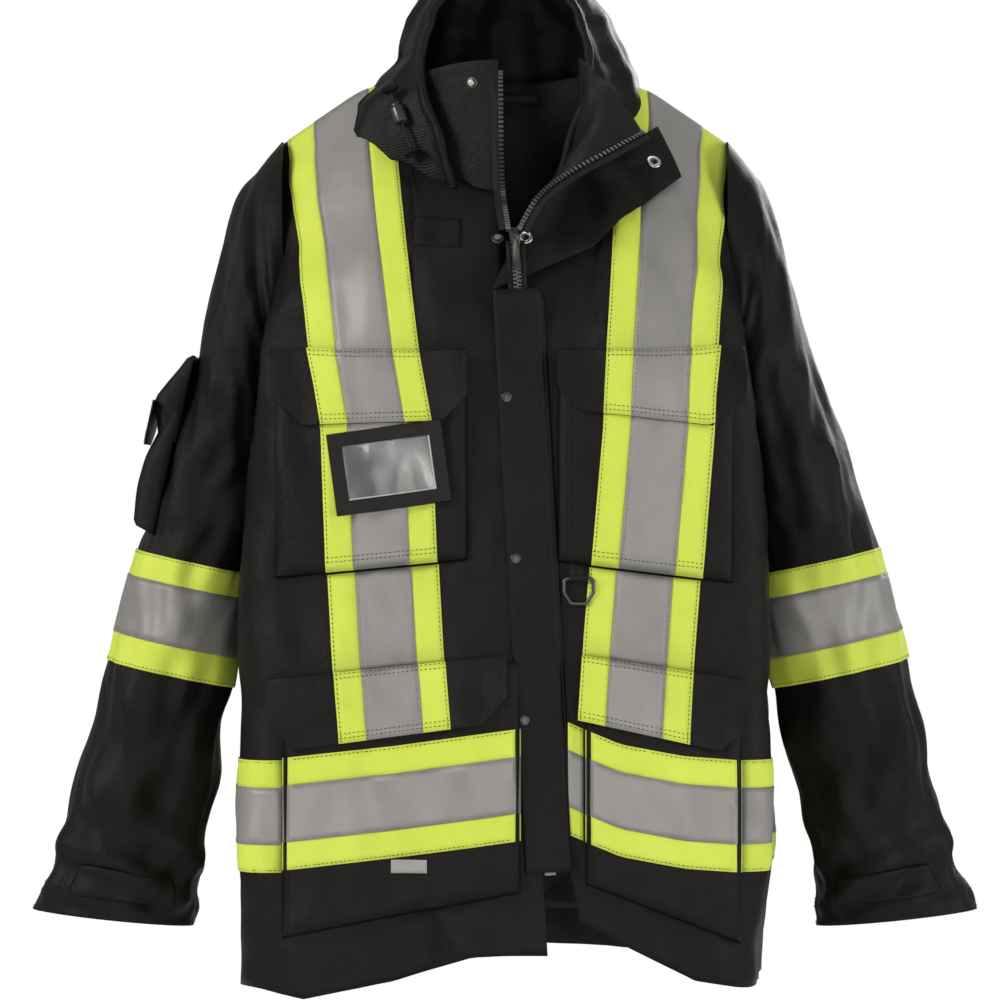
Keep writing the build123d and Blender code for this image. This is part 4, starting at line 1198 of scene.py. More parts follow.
def hoodAt(z, s, n=0.0):
    k = next((i for i in range(len(hoodShape) - 2) if z < hoodShape[i + 1][0]), len(hoodShape) - 2)
    t = (z - hoodShape[k][0]) / (hoodShape[k + 1][0] - hoodShape[k][0])
    t = ease(0, 1, t) * 0.5 + t * 0.5
    halfR, halfL, near, far, mouth = [p + (q - p) * t for p, q in zip(hoodShape[k][1:], hoodShape[k + 1][1:])]
    half = halfR if s < 0 else halfL
    end = math.pi - math.asin(min(0.99, max(0.02, mouth) / half))
    phi = s * end
    size = min(1.0, half / 0.06)
    wave = noise.noise(Vector((math.sin(phi) * 2.1, math.cos(phi) * 2.1, z * 9))) * 0.010
    wave += noise.noise(Vector((math.sin(phi) * 5, math.cos(phi) * 5, z * 24 + 4))) * 0.005
    wave *= size * ease(1.0, 0.9, abs(s)) if abs(s) > 0.9 else size
    x = (half + n + wave) * math.sin(phi)
    y = (near + far) / 2 + ((far - near) / 2 + n + wave) * math.cos(phi)
    return Vector((x, y, z))


def hoodFoot(s):
    z = -0.02
    while z > -0.098:
        p = hoodAt(z, s)
        near, far = depths(p.x, z)
        if near - 0.003 < p.y < far + 0.003 and z < coat["ridgeTop"] - drop(p.x) + 0.003:
            break
        z -= 0.002
    return z


hoodFeet = {}


def hoodPoint(t, s, n=0.0):
    foot = hoodFeet.setdefault(round(s, 4), hoodFoot(s))
    return hoodAt(foot + (hoodShape[-1][0] - foot) * (1 - (1 - t) ** 1.35), s, n)


def makeHood():
    steps = 84
    rows = [[hoodPoint(j / 70, -1 + 2 * i / steps) for i in range(steps + 1)] for j in range(71)]
    made = finishMesh("hoodShell", gridMesh(rows), canvas)
    thicken(made, 0.0024)
    settle(made, "hood_bag", "shell", ["hood"])
    # the hem round the mouth holds the drawcord
    path = [hoodPoint(0.97 * i / 60, -1) for i in range(61)] + [hoodPoint(0.97 * (1 - i / 60), 1)
                                                                for i in range(61)]
    rows = []
    for i, p in enumerate(path):
        d = (path[min(i + 1, 121)] - path[max(i - 1, 0)]).normalized()
        side = d.cross(Vector((0, 1, 0))).normalized()
        up2 = side.cross(d)
        r = 0.0044 + 0.0006 * math.sin(i * 0.9)
        rows.append([p + (side * math.cos(a) + up2 * math.sin(a)) * r
                     for a in [2 * math.pi * k / 10 for k in range(10)]])
    made = finishMesh("hoodHem", gridMesh(rows, closed=True), canvas)
    settle(made, "hood_bag", "shell")
    for s0 in (-0.93, 0.93, -0.30, -0.285, 0.30, 0.285):
        points = [hoodPoint(0.02 + 0.93 * i / 60, s0, 0.0004) for i in range(61)]
        normals = [(hoodPoint(0.02 + 0.93 * i / 60, s0, 0.004) - p).normalized() for i, p in enumerate(points)]
        sew(points, normals, "hood_bag")


makeHood()
print("collar and hood")


# storm flap
up = Vector((-0.05495, 0.044424, 0.9975)).normalized()
outward = Vector((0, -math.cos(lean), math.sin(lean)))
sideways = up.cross(-outward) * -1
if sideways.x < 0:
    sideways = -sideways


def onClosure(u, z, n):
    return Vector((closureX(z), coat["frontY"] + coat["lean"] * z, z)) + sideways * u + outward * n


stormShape = {"free": -0.023, "sewn": 0.0200, "top": -0.188, "bottom": -0.7115, "n": 0.0058, "cloth": 0.0022}


def stormPoint(u, z, n=0.0):
    s = (u - stormShape["free"]) / (stormShape["sewn"] - stormShape["free"])
    wave = noise.noise(Vector((u * 30, 4.0, z * 9))) * 0.0016 * (1 - s)
    return onClosure(u, z, stormShape["n"] + wave + n)


def stormFlap():
    us = [stormShape["free"] + (stormShape["sewn"] - stormShape["free"]) * i / 12 for i in range(13)]
    count = 90
    zs = [stormShape["bottom"] + (stormShape["top"] - stormShape["bottom"]) * j / count
          for j in range(count + 1)]
    bm = gridMesh([[stormPoint(u, z) for u in us] for z in zs])
    made = finishMesh("stormFlap", bm, canvas)
    thicken(made, stormShape["cloth"])
    settle(made, "closure_flap", "shell", ["storm_flap"])
    for u in (stormShape["free"] + 0.003, stormShape["sewn"] - 0.003, stormShape["sewn"] - 0.009):
        points = [stormPoint(u, z, 0.0003) for z in zs]
        sew(points, [outward] * len(points), "closure_flap")
    rows = [[onClosure(u, z, n) for u, n in ((0.0202, 0.0057), (0.0216, 0.0052), (0.0228, 0.0030),
                                             (0.0236, 0.0006))]
            for z in [-0.617 + 0.422 * j / 70 for j in range(71)]]
    made = finishMesh("stormFlapSeam", gridMesh(rows), canvas)
    thicken(made, 0.0012)
    settle(made, "coat", "shell", ["storm_flap_seam"])


stormFlap()


# hard pieces built here: snaps, zipper, slider
def addPrimitive(kind, **size):
    bpy.ops.object.select_all(action="DESELECT")
    getattr(bpy.ops.mesh, kind)(**size)
    return bpy.context.active_object


def pickFaces(made, test):
    bpy.ops.object.mode_set(mode="EDIT")
    bpy.ops.mesh.select_mode(type="FACE")
    bpy.ops.mesh.select_all(action="DESELECT")
    bm = bmesh.from_edit_mesh(made.data)
    for face in bm.faces:
        face.select_set(test(face))
    bmesh.update_edit_mesh(made.data)


def endEdit():
    bpy.ops.object.mode_set(mode="OBJECT")


def makeDisc(name, look):
    made = addPrimitive("primitive_cylinder_add", vertices=32, radius=look["radius"], depth=look["high"],
                        location=(0, 0, look["high"] / 2))
    made.name = name
    pickFaces(made, lambda f: f.normal.z > 0.9)
    bpy.ops.mesh.inset(thickness=look["radius"] * 0.16)
    bpy.ops.transform.translate(value=(0, 0, look["high"] * 0.35))
    bpy.ops.mesh.inset(thickness=look["radius"] * 0.22)
    bpy.ops.mesh.inset(thickness=look["radius"] * 0.10)
    bpy.ops.mesh.extrude_region_move(TRANSFORM_OT_translate={"value": (0, 0, look["core"])})
    bpy.ops.mesh.inset(thickness=look["radius"] * 0.12)
    endEdit()
    bevel = made.modifiers.new("edge", "BEVEL")
    bevel.width, bevel.segments, bevel.angle_limit = look["radius"] * 0.06, 2, math.radians(30)
    apply(made, bevel)
    made.data.materials.clear()
    made.data.materials.append(nickel)
    made.data.materials.append(innerSnap)
    for face in made.data.polygons:
        far = (face.center.xy).length
        if far < look["radius"] * 0.55 and face.normal.z > 0.5 and look["core"] < 0:
            face.material_index = 1
    shade(made, 40)
    return made


def frameFor(at, normal, along=Vector((0, 0, 1))):
    z = normal.normalized()
    x = along.cross(z).normalized()
    y = z.cross(x)
    return Matrix.Translation(at) @ Matrix((x, y, z)).transposed().to_4x4()


def joinCopies(name, source, places):
    bm = bmesh.new()
    for m in places:
        data = source.data.copy()
        data.transform(m)
        bm.from_mesh(data)
        bpy.data.meshes.remove(data)
    data = bpy.data.meshes.new(name)
    bm.to_mesh(data)
    bm.free()
    made = bpy.data.objects.new(name, data)
    bpy.context.scene.collection.objects.link(made)
    for material in source.data.materials:
        data.materials.append(material)
    shade(made, 40)
    return made


def throwAway(made):
    data = made.data
    bpy.data.objects.remove(made)
    bpy.data.meshes.remove(data)


snapLook = {
    "cap": {"radius": 0.0048, "high": 0.0010, "core": 0.0005},
    "socket": {"radius": 0.0068, "high": 0.0012, "core": -0.0014},
    "stud": {"radius": 0.0054, "high": 0.0009, "core": 0.0020},
    "line": -0.0155, "levels": (-0.285, -0.430, -0.575),
}


def snaps():
    cap = makeDisc("capSource", snapLook["cap"])
    socket = makeDisc("socketSource", snapLook["socket"])
    stud = makeDisc("studSource", snapLook["stud"])
    line = snapLook["line"]
    cap.data.materials[0] = lacquer
    made = joinCopies("snapCaps", cap, [frameFor(stormPoint(line, z * 0.9994, 0.0001), outward)
                                        for z in snapLook["levels"]])
    settle(made, "closure_flap", "snap_metal", ["snap_caps"])
    made = joinCopies("snapSockets", socket, [frameFor(stormPoint(line, z * 0.9994, -0.0024), -outward)
                                              for z in snapLook["levels"]])
    settle(made, "closure_flap", "snap_metal", ["snap_sockets"])
    places = []
    for z in (-0.141,) + snapLook["levels"]:
        x = closureX(z) + line
        p = skin(-1, x, z * 0.9994, 0.0002)
        places.append(frameFor(p, skin(-1, x, z, 0.01) - p))
    for a, t in ((-2.80, 0.84),):
        p = collarPoint(a, t, 0.0003)
        places.append(frameFor(p, collarPoint(a, t, 0.01) - p))
    stud.data.materials[0] = innerSnap
    stud.data.materials[1] = nickel
    for face in stud.data.polygons:
        face.material_index = 1 if face.center.xy.length < 0.0026 else 0
    made = joinCopies("snapStuds", stud, places)
    settle(made, "coat", "snap_metal", ["snap_studs"])
    places = []
    for t, s in ((0.115, 0.33), (0.90, 0.52)):
        p = turnedFlapPoint(t, s, 0.0002)
        places.append(frameFor(p, turnedFlapPoint(t, s, 0.01) - p))
    made = joinCopies("turnedSockets", socket, places)
    settle(made, "coat", "snap_metal")
    for source in (cap, socket, stud):
        throwAway(source)


snaps()
zipLook = {"pitch": 0.0036, "wide": 0.0044, "long": 0.0021, "high": 0.0032}


def makeTooth():
    made = addPrimitive("primitive_cube_add", size=1.0)
    made.name = "toothSource"
    made.data.transform(Matrix.Diagonal((zipLook["wide"], zipLook["long"], zipLook["high"], 1)))
    pickFaces(made, lambda f: f.normal.x > 0.9)
    bpy.ops.mesh.inset(thickness=0.0002)
    bpy.ops.transform.resize(value=(1, 1.25, 0.8))
    bpy.ops.transform.translate(value=(0.0004, 0, 0))
    endEdit()
    made.data.materials.clear()
    made.data.materials.append(moulded)
    shade(made, 35)
    return made


def pathFrames(points, count, out, inward):
    frames = []
    for i in range(count):
        t = (i + 0.5) / count
        p = curve(points, t)
        d = (curve(points, min(1, t + 0.01)) - curve(points, max(0, t - 0.01))).normalized()
        n = (out - d * out.dot(d)).normalized()
        s = d.cross(n) * inward
        frames.append((p, d, n, s))
    return frames


def toothMatrix(p, d, n, s):
    return Matrix.Translation(p) @ Matrix((s, d, n)).transposed().to_4x4()


rightEdge = [(0.0035, -0.1875, -0.134), (0.0005, -0.166, -0.1135), (-0.0015, -0.140, -0.0955),
             (-0.0030, -0.126, -0.060),
             (-0.0035, -0.1235, -0.020), (-0.0040, -0.1225, 0.015)]


def zipper():
    tooth = makeTooth()
    places = []
    for z0, side in ((-0.1479, 1), (-0.1461, -1)):
        count = int(0.552 / zipLook["pitch"])
        for i in range(count):
            z = z0 - i * zipLook["pitch"]
            p = onClosure(side * 0.0016, z, -0.0035)
            places.append(toothMatrix(p, up, outward, sideways * -side if side > 0 else sideways))
    for p, d, n, s in pathFrames(rightEdge, 48, Vector((0, -1, 0.2)), 1):
        places.append(toothMatrix(p - s * 0.0004 - n * 0.0012, d, n, s))
    zipPath = [tuple(Vector(p) + Vector((0, -0.003, 0.001))) for p in turned["zip"]]
    for p, d, n, s in pathFrames(zipPath, 43, Vector((0, -0.8, 0.6)), -1):
        places.append(toothMatrix(p, d, n, s))
    made = joinCopies("zipperTeeth", tooth, places)
    settle(made, "coat", "zip_moulding", ["zipper_teeth"])
    throwAway(tooth)
    rows = [[onClosure(u, z, -0.0035) for u in (-0.0086, -0.0062, -0.0038)]
            for z in [-0.704 + 0.560 * j / 60 for j in range(61)]]
    rowsB = [[onClosure(u, z, -0.0035) for u in (0.0038, 0.0062, 0.0086)]
             for z in [-0.704 + 0.560 * j / 60 for j in range(61)]]
    for name, data, nodes in (("zipTapeRight", rows, ["zipper_tapes"]), ("zipTapeLeft", rowsB, ())):
        made = finishMesh(name, gridMesh(data), webbing)
        thicken(made, 0.0008, 0.0)
        settle(made, "coat", "zip_tape", nodes)
    for name, path, out, inward, shift in (("zipTapeCollar", rightEdge, Vector((0, -1, 0.2)), 1, -0.0005),
                                           ("zipTapeTurned", zipPath, Vector((0, -0.8, 0.6)), -1, -0.0010)):
        rows = []
        for p, d, n, s in pathFrames(path, 60, out, inward):
            rows.append([p + s * 0.001 + n * shift, p - s * 0.004 + n * shift, p - s * 0.009 + n * shift])
        made = finishMesh(name, gridMesh(rows), webbing)
        thicken(made, 0.0008, 0.0)
        settle(made, "coat", "zip_tape")


zipper()


def slider():
    base = onClosure(0, -0.1398, 0.0)
    made = addPrimitive("primitive_cube_add", size=1.0)
    made.name = "sliderBody"
    made.data.transform(Matrix.Diagonal((0.0116, 0.0150, 0.0070, 1)))
    pickFaces(made, lambda f: f.normal.z > 0.9)
    bpy.ops.mesh.inset(thickness=0.0016)
    bpy.ops.mesh.extrude_region_move(TRANSFORM_OT_translate={"value": (0, 0, 0.0008)})
    endEdit()
    pickFaces(made, lambda f: f.normal.y < -0.9)
    bpy.ops.transform.resize(value=(0.72, 1, 1))
    endEdit()
    bevel = made.modifiers.new("edge", "BEVEL")
    bevel.width, bevel.segments = 0.0009, 3
    apply(made, bevel)
    made.data.transform(toothMatrix(base + outward * -0.0035, up, outward, sideways))
    made.data.materials.clear()
    made.data.materials.append(lacquer)
    shade(made, 40)
    settle(made, "slider", "zip_metal", ["zipper_slider"])
    arch = addPrimitive("primitive_torus_add", major_radius=0.0034, minor_radius=0.0008, major_segments=28,
                        minor_segments=10)
    arch.name = "sliderBridge"
    arch.data.transform(Matrix.Rotation(math.pi / 2, 4, "Y"))
    pickFaces(arch, lambda f: f.calc_center_median().z < -0.0026)
    bpy.ops.mesh.delete(type="FACE")
    endEdit()
    arch.data.transform(toothMatrix(base + outward * 0.0004, up, outward, sideways))
    arch.data.materials.clear()
    arch.data.materials.append(lacquer)
    shade(arch, 60)
    settle(arch, "slider", "zip_metal")
    pull = addPrimitive("primitive_cube_add", size=1.0)
    pull.name = "sliderPull"
    pull.data.transform(Matrix.Diagonal((0.0088, 0.0270, 0.0016, 1)))
    pickFaces(pull, lambda f: f.normal.z > 0.9 or f.normal.z < -0.9)
    bpy.ops.mesh.inset(thickness=0.0012, use_individual=True)
    bpy.ops.transform.resize(value=(1, 1, 0.55))
    endEdit()
    pickFaces(pull, lambda f: f.normal.y > 0.9)
    bpy.ops.transform.resize(value=(0.45, 1, 1))
    endEdit()
    bevel = pull.modifiers.new("edge", "BEVEL")
    bevel.width, bevel.segments = 0.0005, 2
    apply(pull, bevel)
    pull.data.transform(toothMatrix(base + outward * 0.0017 - up * 0.0165, up, outward, sideways))
    pull.data.materials.clear()
    pull.data.materials.append(lacquer)
    shade(pull, 40)
    settle(pull, "pull", "zip_metal", ["zipper_pull"])


slider()
print("storm flap, snaps and zipper")


# badge holder
badgeLook = {"x": -0.109, "z": -0.313, "wide": 0.104, "high": 0.074, "lean": math.radians(8.0), "n": 0.0162,
             "rim": 0.0125}


def badgePoint(u, v, n):
    ca, sa = math.cos(badgeLook["lean"]), math.sin(badgeLook["lean"])
    x = badgeLook["x"] + u * ca - v * sa
    z = badgeLook["z"] + u * sa + v * ca
    return skin(-1, x, z, badgeLook["n"] + n + 0.0008 * math.sin(u * 40 + v * 25))


def badge():
    w, h, rim = badgeLook["wide"] / 2, badgeLook["high"], badgeLook["rim"]

    def rectRows(u0, u1, v0, v1, n, nu=20, nv=14):
        return [[badgePoint(u0 + (u1 - u0) * i / nu, v0 + (v1 - v0) * j / nv, n) for i in range(nu + 1)]
                for j in range(nv + 1)]
    made = finishMesh("badgeBack", gridMesh(rectRows(-w, w, -h, 0, 0.0)), facing)
    thicken(made, 0.0012)
    settle(made, "badge", "badge_fabric")
    steps = 24
    ringOut, ringIn = [], []
    for u0, v0, u1, v1 in ((-w, 0, w, 0), (w, 0, w, -h), (w, -h, -w, -h), (-w, -h, -w, 0)):
        for i in range(steps):
            t = i / steps
            u, v = u0 + (u1 - u0) * t, v0 + (v1 - v0) * t
            ringOut.append((u, v))
            ringIn.append((u * (w - rim) / w, -h / 2 + (v + h / 2) * (h / 2 - rim) / (h / 2)))
    rows = []
    for k, n in ((0.0, 0.0002), (0.06, 0.0016), (0.3, 0.0019), (0.8, 0.0019), (0.97, 0.0016), (1.0, 0.0006)):
        rows.append([badgePoint(a + (c - a) * k, b + (d - b) * k, n) for (a, b),
                     (c, d) in zip(ringOut, ringIn)])
    made = finishMesh("badgeFrame", gridMesh(rows, closed=True, out=outward), facing)
    thicken(made, 0.0008)
    settle(made, "badge", "badge_fabric", ["badge_holder"])
    made = finishMesh("badgeCard", gridMesh(rectRows(-w + rim - 0.002, w - rim + 0.002, -h + rim - 0.002,
                                                     -rim + 0.002, 0.0004)), cardBoard)
    thicken(made, 0.0004)
    settle(made, "badge", "badge_insert", ["badge_card"])
    rows = []
    for j in range(19):
        row = []
        for i in range(25):
            u = -w + rim - 0.001 + (2 * w - 2 * rim + 0.002) * i / 24
            v = -h + rim - 0.001 + (h - 2 * rim + 0.002) * j / 18
            row.append(badgePoint(u, v, 0.0011 + 0.0007 * noise.noise(Vector((u * 45, v * 55, 1)))))
        rows.append(row)
    made = finishMesh("badgeWindow", gridMesh(rows), vinyl)
    thicken(made, 0.0003)
    settle(made, "badge", "badge_clear", ["badge_window"])
    # painted highlight: a pale strip round the window's edge, kept only on the right and lower sides where the
    # light catches
    glintRows = [[badgePoint(a + (c - a) * k, b + (d - b) * k, n) for (a, b), (c, d) in zip(ringOut, ringIn)]
            for k, n in ((1.0, 0.0019), (1.05, 0.0024), (1.10, 0.0022), (1.13, 0.0014))]
    low = [[row[i] for i in range(24, 73)] for row in glintRows]    # right and lower sides catch the light
    made = finishMesh("badgeEdgeGlint", gridMesh(low, out=outward), glint)
    thicken(made, 0.0004)
    settle(made, "badge", "badge_clear")
    for k in (0.2, 0.85):
        ring = [badgePoint(a + (c - a) * k, b + (d - b) * k, 0.0021) for (a, b), (c, d) in zip(ringOut, ringIn)]
        sew(ring + ring[:1], [outward] * (len(ring) + 1), "badge")


badge()


# ring, tabs, tag, loop
def ribbon(name, rows, material, thick, body, slot, nodes=()):
    made = finishMesh(name, gridMesh(rows), material)
    thicken(made, thick)
    settle(made, body, slot, nodes)
    return made


def smallPieces():
    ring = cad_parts["d_ring"]
    ring.data.materials.clear()
    ring.data.materials.append(moulded)
    c = Vector((0.066, -0.202773, -0.448378))
    rows = []
    for i in range(19):
        a = math.radians(-100 + 200 * i / 18)
        d = outward * math.cos(a) * 0.0031 - Vector((0, 0, 1)) * math.sin(a) * 0.0031
        rows.append([c + d + Vector((x, 0, 0)) for x in (-0.0085, -0.0028, 0.0028, 0.0085)])
    top = [skin(-1, 0.066 + x, -0.434, 0.0022) for x in (-0.0085, -0.0028, 0.0028, 0.0085)]
    ribbon("ringLoop", [top] + rows, webbing, 0.0010, "coat", "shell", ["d_ring_loop"])
    rows = [[skin(-1, -0.083 + 0.043 * i / 14, -0.150 + 0.026 * j / 8,
                  0.0006 + 0.0012 * math.sin(math.pi * j / 8)) for i in range(15)] for j in range(9)]
    ribbon("chestTab", rows, canvas, 0.0012, "coat", "shell", ["mic_tab"])
    for z in (-0.1475, -0.1265):
        sewOnSkin(-1, [(-0.081, z), (-0.042, z)], 0.0016, "coat")
    spec = pocketCloth["rightHip"]
    rows = [[pocketPoint(spec, pocketDeep["Hip"], -0.102 + 0.032 * i / 8, -0.712 + 0.012 * j / 4, 0.0016)
             for i in range(9)] for j in range(5)]
    ribbon("plainTag", rows, greyTag, 0.0007, "coat", "tag_grey", ["plain_tag"])
    rows = []
    for i in range(29):
        x = -0.031 + 0.062 * i / 28
        y = 0.0036 * (x / 0.031) ** 2
        rows.append([Vector((x, y, z)) for z in (-0.0045, -0.0015, 0.0015, 0.0045)])
    ribbon("hangLoop", rows, webbing, 0.0014, "coat", "shell", ["hang_loop"])


smallPieces()


# sleeve pocket on the right upper sleeve
def sleevePocket():
    c, s = math.cos(math.radians(12.4)), math.sin(math.radians(12.4))
    origin = Vector((-0.26931, -0.048, -0.362))
    along, upArm, out = Vector((0, -1, 0)), Vector((s, 0, c)), Vector((-c, 0, s))

    def place(u, v, w):
        return origin + along * u + upArm * v + out * w

    half, high, deep = 0.042, 0.059, 0.0665
    us = gatherSteps(-half, half, 0.010, 18)
    rows = []
    for j in range(25):
        t = j / 24
        v = -high + 2 * high * t
        row = []
        for u in us:
            inU, inV = half - abs(u), v + high
            k = min(1.0, inU / 0.010, inV / 0.010)
            side = math.sqrt(max(0.0, k * (2 - k)))
            wave = noise.noise(Vector((u * 30, v * 24, 5.0))) * 0.0030 + 0.003 * math.sin(math.pi * t)
            row.append(place(u, v, 0.044 + (deep + wave - 0.046 - 0.010 * ease(0.55, 1.0, t)) * side))
        rows.append(row)
    made = finishMesh("penPocket", gridMesh(rows), canvas)
    thicken(made, 0.0014)
    settle(made, "right_upper_sleeve", "shell", ["sleeve_pocket"])
    rows = []
    for j in range(13):
        t = j / 12
        row = []
        for i in range(25):
            u = (half + 0.003) * (-1 + 2 * i / 24)
            edge = (half + 0.003) - abs(u)
            cut = 0.014 * max(0.0, 1 - edge / 0.014)
            v = high + 0.004 - (0.042 - cut) * (1 - t)
            row.append(place(u, v, 0.0704 + 0.0015 * math.sin(math.pi * i / 24) * (1 - t)))
        rows.append(row)
    bellows = [(0.052, 0.0440), (0.048, 0.0490), (0.038, 0.0535), (0.024, 0.0610), (0.010, 0.0680),
               (0.004, 0.0694),
               (-0.004, 0.0680), (-0.014, 0.0640), (-0.026, 0.0600), (-0.030, 0.0440)]
    bridge = []
    for i in range(25):
        u = half * (-1 + 2 * i / 24)
        swell = math.sqrt(max(0.0, 1 - max(0.0, (abs(u) - half + 0.010) / 0.010) ** 2))
        bridge.append([place(u, high + v, 0.042 + (w - 0.042) * swell) for v, w in bellows])
    made = finishMesh("penFlapRoot", gridMesh(bridge, out=out), canvas)
    thicken(made, 0.0012)
    settle(made, "right_upper_sleeve", "shell")
    made = finishMesh("penFlap", gridMesh(rows), canvas)
    thicken(made, 0.0022)
    settle(made, "pen_lid", "shell", ["sleeve_pocket_flap"])
    for row in (rows[1], rows[11], rows[10]):
        sew([p + out * 0.0003 for p in row[1:-1]], [out] * (len(row) - 2), "pen_lid")


sleevePocket()


# hood cord and its lock
def cordPieces():
    start, end = Vector((-0.1045, -0.1055, -0.004)), Vector((-0.0857, -0.118, -0.056))
    d = (end - start).normalized()
    side = d.cross(Vector((0, -1, 0))).normalized()
    n = side.cross(d)
    rows = []
    for j in range(41):
        p = start.lerp(end, j / 40)
        rows.append([p + (side * math.cos(a) + n * math.sin(a)) * 0.0016
                     for a in [2 * math.pi * i / 14 for i in range(14)]])
    made = finishMesh("hoodCord", gridMesh(rows, closed=True), webbing)
    settle(made, "hood_bag", "cord_cover", ["hood_cord"])
    lockCentre = start + d * 0.0225
    made = addPrimitive("primitive_cylinder_add", vertices=28, radius=0.0066, depth=0.015)
    made.name = "cordLock"
    pickFaces(made, lambda f: abs(f.normal.z) > 0.9)
    bpy.ops.mesh.inset(thickness=0.0018, use_individual=True)
    bpy.ops.mesh.inset(thickness=0.0014, use_individual=True)
    bpy.ops.transform.resize(value=(1, 1, 0.72))
    endEdit()
    pickFaces(made, lambda f: abs(f.normal.z) < 0.2 and abs(f.calc_center_median().z) < 0.004)
    endEdit()
    bevel = made.modifiers.new("edge", "BEVEL")
    bevel.width, bevel.segments, bevel.angle_limit = 0.0010, 3, math.radians(40)
    apply(made, bevel)
    made.data.transform(toothMatrix(lockCentre, n, d, side))
    made.data.materials.clear()
    made.data.materials.append(moulded)
    shade(made, 40)
    settle(made, "lock", "ring_plastic", ["cord_lock"])
    button = addPrimitive("primitive_uv_sphere_add", segments=24, ring_count=14, radius=0.0046)
    button.name = "lockButton"
    pickFaces(button, lambda f: f.calc_center_median().z < -0.001)
    bpy.ops.transform.resize(value=(1, 1, 0.4))
    endEdit()
    button.data.transform(toothMatrix(lockCentre - d * 0.0092, n, d, side))
    button.data.materials.clear()
    button.data.materials.append(lacquer)
    shade(button, 60)
    settle(button, "lock", "ring_plastic")
    for name, p, flip in (("cordTunnelTop", start - d * 0.002, 1), ("cordTunnelLow", end + d * 0.002, -1)):
        rows = []
        for k, r in ((-0.004, 0.0078), (-0.003, 0.0086), (0.0, 0.0072), (0.0015, 0.0045), (0.0022, 0.0021)):
            ring = []
            for i in range(22):
                a = 2 * math.pi * i / 22
                ring.append(p + d * k * flip + (side * math.cos(a) + n * math.sin(a)) * r)
            rows.append(ring)
        made = finishMesh(name, gridMesh(rows, closed=True), canvas)
        thicken(made, 0.0008)
        settle(made, "hood_bag", "shell", ["cord_anchors"] if flip > 0 else ())


cordPieces()

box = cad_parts["zipper_end_box"]
box.data.materials.clear()
box.data.materials.append(moulded)
print("badge, ring, tabs, sleeve pocket and cord")


# loose sewing lines on the body
def bodySeams():
    for side in (-1, 1):
        sewOnSkin(-1, [(side * (closureX(z) * side + 0.012), z)
                       for z in (-0.772 if side < 0 else -0.70, -0.5, -0.3, -0.17)], 0.0003, "coat")
        for lift in (0.012, 0.022):
            low = closureX(-0.8) * side + (0.016 if side < 0 else 0.028)
            line = hemLine["right" if side < 0 else "left"]
            places = [low + (0.205 - low) * k / 14 for k in range(15)]
            sewOnSkin(-1, [(side * x, between(line, x) + lift) for x in places], 0.0003, "coat")
            places = [0.19 * k / 8 for k in range(9)]
            sewOnSkin(1, [(side * x, between(hemLine["back"], x) + lift) for x in places], 0.0003, "coat")
        sewOnSkin(-1, [(side * 0.06, -0.118 - 0.03), (side * 0.198, -0.238)], 0.0003, "coat")
        sewOnSkin(-1, [(side * 0.06, -0.122 - 0.03), (side * 0.198, -0.242)], 0.0003, "coat")
    sewOnSkin(1, [(-0.19, -0.13), (0.19, -0.13)], 0.0003, "coat")
    sewOnSkin(1, [(-0.19, -0.134), (0.19, -0.134)], 0.0003, "coat")


bodySeams()
for (body, kind), (verts, faces) in sewing.items():
    data = bpy.data.meshes.new("stitches")
    data.from_pydata(verts, [], faces)
    made = bpy.data.objects.new(f"stitches_{body}_{kind}", data)
    bpy.context.scene.collection.objects.link(made)
    data.materials.append(thread if kind == "black" else greyThread)
    settle(made, body, "shell" if kind == "black" else "silver_tape")
print("stitches", sum(len(f) for v, f in sewing.values()))

# stage, light, camera
scene = bpy.context.scene
lamps = {    # place, aim, side length, power, tint
    "key": ((-2.4, -1.7, 0.9), (0, -0.1, -0.42), 1.0, 86, (1.0, 0.965, 0.92)),
    "fill": ((2.6, -1.2, 0.0), (0, -0.1, -0.5), 1.2, 44, (1.0, 0.98, 0.95)),
    "front": ((0.3, -3.2, -0.5), (0, -0.1, -0.55), 1.4, 30, (1.0, 0.975, 0.94)),
    "top": ((0.2, 0.2, 2.2), (0, -0.1, -0.3), 1.4, 16, (1.0, 0.98, 0.96)),
    "low": ((0.1, -2.6, -0.75), (0, -0.2, -0.68), 0.6, 6, (1.0, 0.93, 0.88)),
    "behind": ((1.4, 2.6, 0.8), (0, 0.0, -0.35), 1.4, 60, (1.0, 0.98, 0.96))}
floorDisc = {"radius": 1.35, "height": -1.12, "rim": 0.02, "lift": 0.004}
air = {"white": (1.0, 1.0, 1.0, 1), "onCloth": 0.42, "seen": 1.0}
view = {"distance": 4.0, "aimX": -0.0045, "aimZ": -0.378, "span": 0.900, "plane": -0.19}


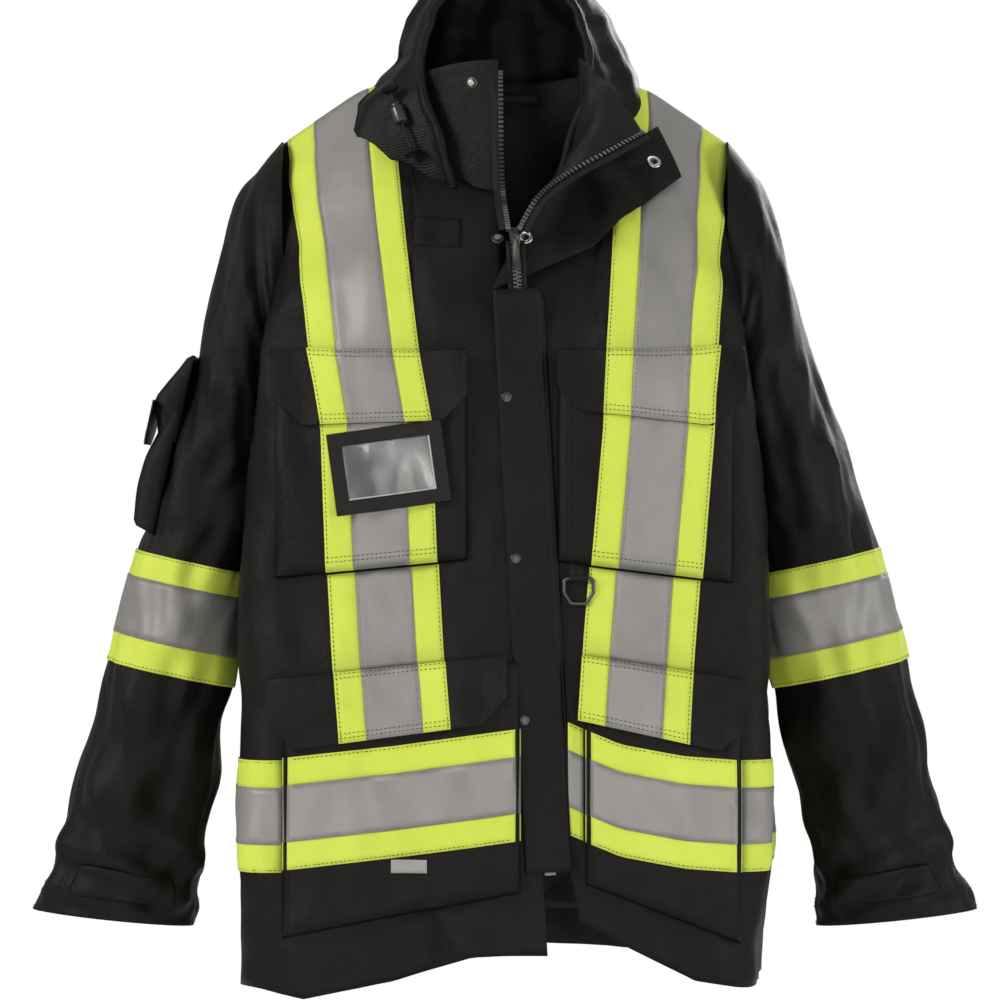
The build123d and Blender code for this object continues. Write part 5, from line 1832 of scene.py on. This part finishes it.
def paleMaterial():
    made, shader, place, cut = newMaterial("paleFloor", {"Specular IOR Level": 0.1})
    mottle = place.clouds(3.0, 3.0)
    colour = mottle.blend((0.90, 0.90, 0.90, 1), (0.93, 0.93, 0.93, 1))
    return wire(made, shader, colour=colour, rough=0.8 + mottle * 0.1)


def studio():
    floor = addPrimitive("primitive_circle_add", vertices=96, radius=floorDisc["radius"],
                         fill_type="NGON", location=(0, 0, floorDisc["height"]))
    floor.name = "paleFloor"
    pickFaces(floor, lambda f: True)
    bpy.ops.mesh.inset(thickness=floorDisc["rim"])
    bpy.ops.transform.translate(value=(0, 0, floorDisc["lift"]))
    endEdit()
    floor.data.transform(Matrix.Translation(floor.location))
    floor.location = (0, 0, 0)
    floor.data.materials.clear()
    floor.data.materials.append(paleMaterial())
    world = bpy.data.worlds.new("studioAir")
    scene.world = world
    world.use_nodes = True
    tree = world.node_tree
    sky, paper = tree.nodes["Background"], tree.nodes.new("ShaderNodeBackground")
    for node, strength in ((sky, air["onCloth"]), (paper, air["seen"])):
        node.inputs[0].default_value = air["white"]
        node.inputs[1].default_value = strength
    rays, pick = tree.nodes.new("ShaderNodeLightPath"), tree.nodes.new("ShaderNodeMixShader")
    tree.links.new(rays.outputs["Is Camera Ray"], pick.inputs[0])
    tree.links.new(sky.outputs[0], pick.inputs[1])
    tree.links.new(paper.outputs[0], pick.inputs[2])
    tree.links.new(pick.outputs[0], tree.nodes["World Output"].inputs[0])
    for name, (at, aim, size, power, tint) in lamps.items():
        lamp = bpy.data.lights.new(name, "AREA")
        lamp.size, lamp.energy, lamp.color = size, power, tint
        holder = bpy.data.objects.new(name, lamp)
        scene.collection.objects.link(holder)
        holder.location = at
        holder.rotation_euler = (Vector(aim) - Vector(at)).to_track_quat("-Z", "Y").to_euler()
    lens = bpy.data.cameras.new("view")
    camera = bpy.data.objects.new("view", lens)
    scene.collection.objects.link(camera)
    camera.location = (view["aimX"], view["plane"] - view["distance"], view["aimZ"])
    camera.rotation_euler = (math.pi / 2, 0, 0)
    lens.sensor_width = 36
    lens.lens = 36 * view["distance"] / view["span"]
    lens.clip_end = 60
    scene.camera = camera
    scene.view_settings.view_transform = "Standard"


studio()
